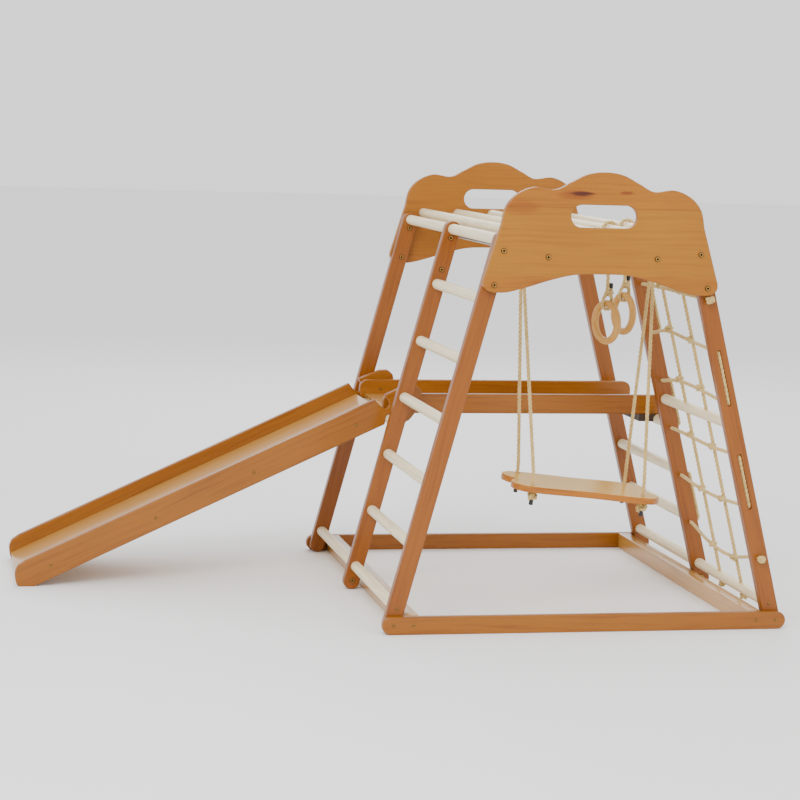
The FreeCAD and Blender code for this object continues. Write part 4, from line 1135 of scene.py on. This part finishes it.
# ---------------------------------------------------------------------- stage
def build_stage():
    """Camera, pale floor and soft studio light."""
    scene = bpy.context.scene
    yaw, pitch, roll = 0.2128, 0.1206, 0.0313
    forward = Vector((math.sin(yaw) * math.cos(pitch), math.cos(yaw) * math.cos(pitch), -math.sin(pitch)))
    right = Vector((math.cos(yaw), -math.sin(yaw), 0))
    up = right.cross(forward)
    right, up = right * math.cos(roll) + up * math.sin(roll), up * math.cos(roll) - right * math.sin(roll)
    lens = bpy.data.cameras.new("camera")
    lens.lens, lens.sensor_width = 102.085, 36
    lens.clip_start, lens.clip_end = 0.1, 60
    camera = linked("camera", lens)
    pose = Matrix((right, up, -forward)).transposed().to_4x4()
    pose.translation = at(-1481, -5294, 1116)
    camera.matrix_world = pose
    scene.camera = camera
    floor = bpy.data.meshes.new("pale_floor")
    floor.from_pydata([(-30, -30, 0), (30, -30, 0), (30, 30, 0), (-30, 30, 0)], [], [(0, 1, 2, 3)])
    paint = bpy.data.materials.new("pale_floor")
    paint.use_nodes = True
    surface = paint.node_tree.nodes["Principled BSDF"].inputs
    surface["Base Color"].default_value = (0.9, 0.9, 0.9, 1)
    surface["Roughness"].default_value = 0.7
    show("pale_floor", floor, [paint])
    world = bpy.data.worlds.new("studio")
    world.use_nodes = True
    sky = world.node_tree.nodes["Background"].inputs
    sky["Color"].default_value = (1, 1, 1, 1)
    sky["Strength"].default_value = 1.4
    scene.world = world
    for name, place, size, power in (
            ("key", (-2.6, -3.6, 3.4), 2.4, 190), ("fill", (3.2, -2.6, 2.2), 3.0, 45),
            ("back", (0.5, 4.0, 3.2), 2.6, 70)):
        light = bpy.data.lights.new(name, "AREA")
        light.size, light.energy = size, power
        lamp = linked(name, light)
        lamp.location = MIDDLE + Vector(place)
        lamp.rotation_mode = "QUATERNION"
        lamp.rotation_quaternion = (MIDDLE + Vector((0, 0, 0.5)) - lamp.location).to_track_quat("-Z", "Y")


# ---------------------------------------------------------------------- operators
class CLIMB_OT_stage(bpy.types.Operator):
    """Camera, floor and soft studio light."""
    bl_idname = "climb.stage"
    bl_label = "Stage"

    def execute(self, context):
        build_stage()
        return {"FINISHED"}


class CLIMB_OT_finishes(bpy.types.Operator):
    """Every wood, rope and metal finish."""
    bl_idname = "climb.finishes"
    bl_label = "Finishes"

    def execute(self, context):
        make_materials()
        return {"FINISHED"}


class CLIMB_OT_net(bpy.types.Operator):
    """The net's three ropes and its knots."""
    bl_idname = "climb.net"
    bl_label = "Rope net"

    def execute(self, context):
        build_net()
        return {"FINISHED"}


class CLIMB_OT_swing_ropes(bpy.types.Operator):
    """Ropes, knots and sleeves of the swing."""
    bl_idname = "climb.swing_ropes"
    bl_label = "Swing ropes"

    def execute(self, context):
        build_swing_ropes()
        return {"FINISHED"}


class CLIMB_OT_ring_ropes(bpy.types.Operator):
    """Ropes, knots and sleeves of the rings."""
    bl_idname = "climb.ring_ropes"
    bl_label = "Ring ropes"

    def execute(self, context):
        build_ring_ropes()
        return {"FINISHED"}


class CLIMB_OT_uprights(bpy.types.Operator):
    """Four legs and two middle stiles."""
    bl_idname = "climb.uprights"
    bl_label = "Uprights"

    def execute(self, context):
        build_uprights()
        return {"FINISHED"}


class CLIMB_OT_floor_rails(bpy.types.Operator):
    """Two long rails and two cross rails."""
    bl_idname = "climb.floor_rails"
    bl_label = "Floor rails"

    def execute(self, context):
        build_floor_rails()
        return {"FINISHED"}


class CLIMB_OT_panels(bpy.types.Operator):
    """The two cloud-topped panels."""
    bl_idname = "climb.panels"
    bl_label = "Panels"

    def execute(self, context):
        build_panels()
        return {"FINISHED"}


class CLIMB_OT_bars(bpy.types.Operator):
    """All round bars."""
    bl_idname = "climb.bars"
    bl_label = "Bars"

    def execute(self, context):
        build_bars()
        return {"FINISHED"}


class CLIMB_OT_platform(bpy.types.Operator):
    """Deck board and its rails."""
    bl_idname = "climb.platform"
    bl_label = "Platform"

    def execute(self, context):
        build_platform()
        return {"FINISHED"}


class CLIMB_OT_slide(bpy.types.Operator):
    """Walls and floor of the slide."""
    bl_idname = "climb.slide"
    bl_label = "Slide"

    def execute(self, context):
        build_slide()
        return {"FINISHED"}


class CLIMB_OT_seat(bpy.types.Operator):
    """The swing's seat board."""
    bl_idname = "climb.seat"
    bl_label = "Seat"

    def execute(self, context):
        build_seat()
        return {"FINISHED"}


class CLIMB_OT_rings(bpy.types.Operator):
    """The two grab rings."""
    bl_idname = "climb.rings"
    bl_label = "Rings"

    def execute(self, context):
        build_rings()
        return {"FINISHED"}


class CLIMB_OT_fixings(bpy.types.Operator):
    """Bolt and screw heads."""
    bl_idname = "climb.fixings"
    bl_label = "Fixings"

    def execute(self, context):
        build_all_fixings()
        return {"FINISHED"}


OPERATORS = [
    CLIMB_OT_stage,
    CLIMB_OT_finishes,
    CLIMB_OT_net,
    CLIMB_OT_swing_ropes,
    CLIMB_OT_ring_ropes,
    CLIMB_OT_uprights,
    CLIMB_OT_floor_rails,
    CLIMB_OT_panels,
    CLIMB_OT_bars,
    CLIMB_OT_platform,
    CLIMB_OT_slide,
    CLIMB_OT_seat,
    CLIMB_OT_rings,
    CLIMB_OT_fixings,
]


class CLIMB_PT_panel(bpy.types.Panel):
    """Lists the builders of the climbing frame."""
    bl_idname = "CLIMB_PT_panel"
    bl_label = "Climbing Frame"
    bl_space_type = "VIEW_3D"
    bl_region_type = "UI"
    bl_category = "Climbing Frame"

    def draw(self, context):
        for made in OPERATORS:
            self.layout.operator(made.bl_idname)


CLASSES = [ClimbingFrameSizes, ClimbingFrameColours, *OPERATORS, CLIMB_PT_panel]


def register():
    """Add the classes and the settings that a user may change."""
    for made in CLASSES:
        bpy.utils.register_class(made)
    bpy.types.Scene.climbing_frame_sizes = bpy.props.PointerProperty(type=ClimbingFrameSizes)
    bpy.types.Scene.climbing_frame_colours = bpy.props.PointerProperty(type=ClimbingFrameColours)


def unregister():
    """Take the settings and the classes away again."""
    del bpy.types.Scene.climbing_frame_colours
    del bpy.types.Scene.climbing_frame_sizes
    for made in reversed(CLASSES):
        bpy.utils.unregister_class(made)


def main():
    """Build everything."""
    register()
    for made in OPERATORS:
        piece_operator = getattr(bpy.ops.climb, made.bl_idname.removeprefix("climb."))
        if piece_operator() != {"FINISHED"}:
            raise RuntimeError("%s did not finish" % made.bl_label)


if __name__ == "__main__":
    main()
